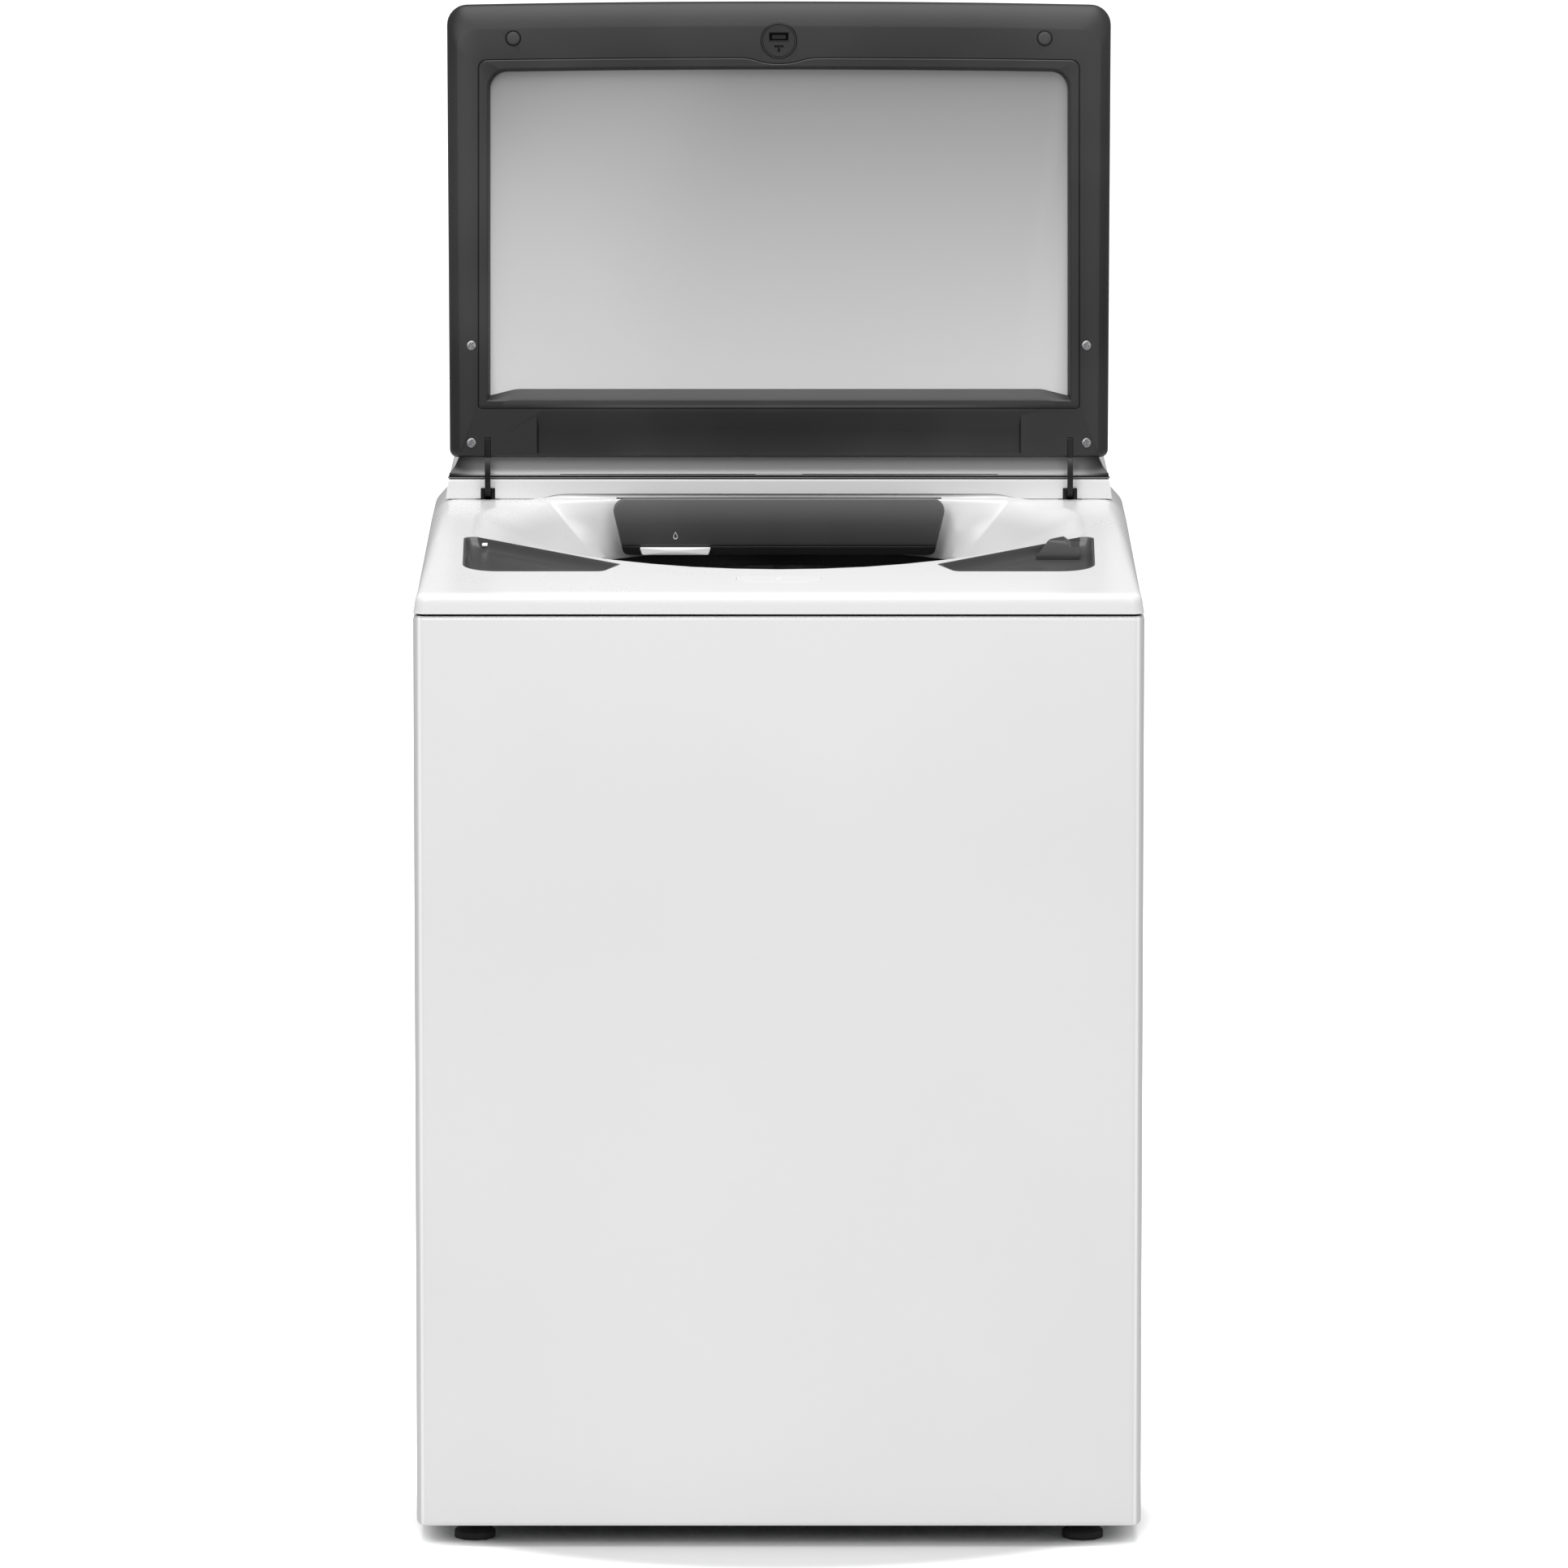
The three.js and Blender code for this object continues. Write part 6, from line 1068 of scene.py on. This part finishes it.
glass_loops = [(lid_loop(half, half, 51 + step, 394 - step, 8, 8, 2.0), level) for half, step, level in (
    (299.6, 0.4, -14.0), (300, 0, -13.6), (300, 0, -10.4), (299.6, 0.4, -10.0))]
piece("lid_pane", [LID.out(skin(rows_of(*glass_loops), capped=True))], "lid", FINISHES["tinted_glass"],
      ["lid_glass"], 40)

# The strike: a disc in the underside with a rim groove, a square window and a key hole below it.
strike_profile = [(0, 8), (17.4, 8), (18, 7.4), (18, 0.5), (17.5, 0), (16.6, 0), (16.2, 0.5), (15.8, 0),
                  (0, 0)]
strike_cuts = [block(-10, 10, -8.5, 1.2, -1, 5.5), block(-4.6, 4.6, 4.6, 6.8, -1, 5.5),
               block(-1.3, 1.3, 6.5, 11.4, -1, 5.5)]
strike = on_underside(lathe(strike_profile, 64), *STRIKE)
strike_tools = [[on_underside(shell, *STRIKE)] for shell in strike_cuts]
piece("lid_catch", on_lid(carved("lid_catch", [strike], strike_tools)), "lid", LID_GREY, ["lid_strike"], 30)
latch = frustum(rectangle(-9, 9, -7.6, -1, 1), rectangle(-7, 7, -6, -2, 1), 5.3, 2.4)
piece("catch_tongue", [LID.out(on_underside(latch, *STRIKE))], "lid", FINISHES["black_plastic"], (), 30)

pad = lathe([(0, 7), (4, 7), (4, 0.2), (6.3, 0.2), (6.6, -0.2), (6.2, -0.9), (5.4, -1.2), (3, -1.35),
             (0, -1.4)])
collar = lathe([(6.8, 0.3), (8.0, 0.3), (8.0, -0.25), (7.4, -0.4), (6.8, -0.25), (6.8, 0.3)])
for side, name in zip(LEFT_AND_RIGHT, ("left", "right")):
    soft, ring = (LID.out(on_underside(shell, side * BUMPER[0], BUMPER[1])) for shell in (pad, collar))
    piece("bumper_" + name, [soft], "lid", PAD_GREY, ["lid_bumper_" + name], 30)
    piece("bumper_collar_" + name, [ring], "lid", SEAL_AND_SHADOW_BLACK)
    refined("hinge_arm_" + name, ARM_BLACK, 0.5)


def screw_head():
    """A pan head (radius, height) on a polar grid, with a cross sunk where |x| or |y| is small."""
    radius = np.concatenate([np.linspace(0, 4.4, 16), [4.75, 4.9, 4.9]])
    angle = np.linspace(0, 2 * math.pi, 72, endpoint=False)
    x, y = radius[:, None] * np.cos(angle), radius[:, None] * np.sin(angle)
    dome = -np.interp(radius, [0, 3.2, 4.4, 4.75, 4.9], [1.2, 1.1, 0.8, 0.5, 0.0])
    height = dome[:, None] * np.ones_like(x)
    height[-1] = 0.6
    arms = 1 - smooth(np.minimum(np.abs(x), np.abs(y)), 0.35, 0.75)
    cross = arms * (1 - smooth(np.hypot(x, y), 2.4, 3.0))
    return skin(np.stack([x, y, height + 0.75 * cross], axis=2), capped=True)


def turned_flat(shell, degrees):
    """Turns a shell about the z axis."""
    turn = math.radians(degrees)
    matrix = np.array([[math.cos(turn), -math.sin(turn), 0], [math.sin(turn), math.cos(turn), 0], [0, 0, 1]])
    return shell[0] @ matrix.T, shell[1]


screw_places = [(side * 309.4, u) for side in LEFT_AND_RIGHT for u in (14.0, 112.0)]
screws = [LID.out(on_underside(turned_flat(screw_head(), 20 + 31 * number), *place))
          for number, place in enumerate(screw_places)]
piece("lid_screws", screws, "lid", SCREW_ZINC, (), 40)

# ---- springs

SPRING_TURNS = 5.5
SPRING_RADIUS, SPRING_WIRE = 13.7, 2.0  # the wire's path, and the wire's radius


def spring(low, high):
    """The wire's path: it climbs evenly, with its end turns closed up."""
    share = np.linspace(0, 1, 200)
    climb = np.interp(share, [0, 0.12, 0.88, 1], [0.0, 0.045, 0.955, 1.0])
    loops = ((low + high) / 2)[:2] + SPRING_RADIUS * directions(share * SPRING_TURNS * 2 * math.pi)
    return level_row(loops, low[2] + SPRING_WIRE + (high[2] - low[2] - 2 * SPRING_WIRE) * climb)


for end in ("front", "rear"):
    for side in ("left", "right"):
        name = f"suspension_spring_{side}_{end}"
        low, high = extent(name)
        wire = tube(spring(low, high), SPRING_WIRE)
        coil = piece("coil_" + name, [wire], BODY_OF[name], FINISHES["steel"], [name])
        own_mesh(coil)

# ---- the other nodes

OWN_FINISH = {"basket": BASKET_STEEL, "balance_ring": RING_SHADE_GREY}
OWN_BEVEL = {"cycle_knob": 0.8, "rear_panel": 0.3, "lid_lock_body": 0.3, "lid_lock_bolt": 0.3}

below_tray = DECK.turn @ [0, 0, -1]
refined("stain_brush", BRUSH_GREY, 1.2, cut=(DECK.origin + below_tray * TRAY_FLOOR, below_tray))
for node in frame["nodes"]:
    if node not in done:
        refined(node, OWN_FINISH.get(node, FINISHES[NODE_SLOT[node]]), OWN_BEVEL.get(node, 0.6))

# ---- studio

FLOOR_REACH = 40.0
FLOOR_LIT = 0.9
FLOOR_PAINTED_SHADOW, FLOOR_FAR = 0.72, 3.2  # the floor's level as seen: a painted shadow at the machine's front, and bright far from it
SHADOW_SHIFT, SHADOW_SCALE = (0, 0.32, 0), (1.2, 1.6, 1)  # to the painted shadow's oval round the machine's front
SHADOW_FADE = (0.36, 0.56)  # where the painted shadow fades, in the oval's radius
WORLD_LIGHT = 0.4


def by_ray(shader, lit, seen):
    """One level for the light that falls on things, and another for what is seen directly or
    through glass."""
    direct, through = (shader.node("ShaderNodeLightPath", output=f"Is {kind} Ray")
                       for kind in ("Camera", "Transmission"))
    return shader.node("ShaderNodeMix", {}, {0: direct.maths("MAXIMUM", through), 2: lit, 3: seen})


floor_mesh = bpy.data.meshes.new("floor")
floor_corners = [(FLOOR_REACH * x, FLOOR_REACH * y, 0) for x, y in ((-1, -1), (1, -1), (1, 1), (-1, 1))]
floor_mesh.from_pydata(floor_corners, [], [(0, 1, 2, 3)])
floor = linked("floor", floor_mesh)
floor_paint = bpy.data.materials.new("floor")
floor_mesh.materials.append(floor_paint)
paint = Shader(floor_paint)
paint.tree.nodes.remove(paint.tree.nodes["Principled BSDF"])
where = paint.node("ShaderNodeTexCoord", output="Object")
shadow_oval = paint.node("ShaderNodeMapping", {}, {"Vector": where, "Location": SHADOW_SHIFT, "Scale": SHADOW_SCALE})
away = paint.node("ShaderNodeVectorMath", {"operation": "LENGTH"}, [shadow_oval], output="Value")
# A painted shadow: the floor is seen darker inside the oval round the machine's front.
level = by_ray(paint, FLOOR_LIT, away.smooth(*SHADOW_FADE, FLOOR_PAINTED_SHADOW, FLOOR_FAR))
color = paint.node("ShaderNodeCombineColor", {}, [level] * 3)
matt = paint.node("ShaderNodeBsdfDiffuse", {}, {"Color": color})
paint.link(matt, paint.tree.nodes["Material Output"].inputs["Surface"])

world = bpy.data.worlds.new("studio")
bpy.context.scene.world = world
sky = Shader(world)
background = sky.tree.nodes["Background"]
background.inputs["Color"].default_value = (1, 1, 1, 1)
sky.link(by_ray(sky, WORLD_LIGHT, 1.0), background.inputs["Strength"])


def lamp(name, place, aim, size, power):
    """A square soft lamp that points at aim: lengths are in metres and the power in watts."""
    light = bpy.data.lights.new(name, "AREA")
    light.shape = "SQUARE"
    light.size = size
    light.energy = power
    made = linked(name, light)
    made.location = place
    made.rotation_euler = (Vector(aim) - Vector(place)).to_track_quat("-Z", "Y").to_euler()


for settings in (("top", (0.0, -0.6, 3.8), (0, -0.1, 0.9), 2.4, 86.0),
                 ("key", (-1.6, -3.6, 3.2), (0, 0, 0.8), 2.0, 50.0),
                 ("fill", (1.8, -3.8, 2.2), (0, 0, 0.8), 2.0, 20.0)):
    lamp(*settings)

# ---- camera

CAMERA_DISTANCE = 12.0
CAMERA_PITCH = math.radians(8.0)
CAMERA_TARGET = Vector((0.0051, -0.343, 0.7544))
LENS, SENSOR = 283.98, 36.0  # in millimetres
CLIP_END = 200.0

camera_data = bpy.data.cameras.new("camera")
camera_data.lens = LENS
camera_data.sensor_width = SENSOR
camera_data.clip_end = CLIP_END
camera = linked("camera", camera_data)
backwards = Vector((0, -math.cos(CAMERA_PITCH), math.sin(CAMERA_PITCH)))
camera.location = CAMERA_TARGET + CAMERA_DISTANCE * backwards
camera.rotation_euler = (math.pi / 2 - CAMERA_PITCH, 0, 0)
bpy.context.scene.camera = camera

bpy.context.scene.view_settings.view_transform = "Standard"
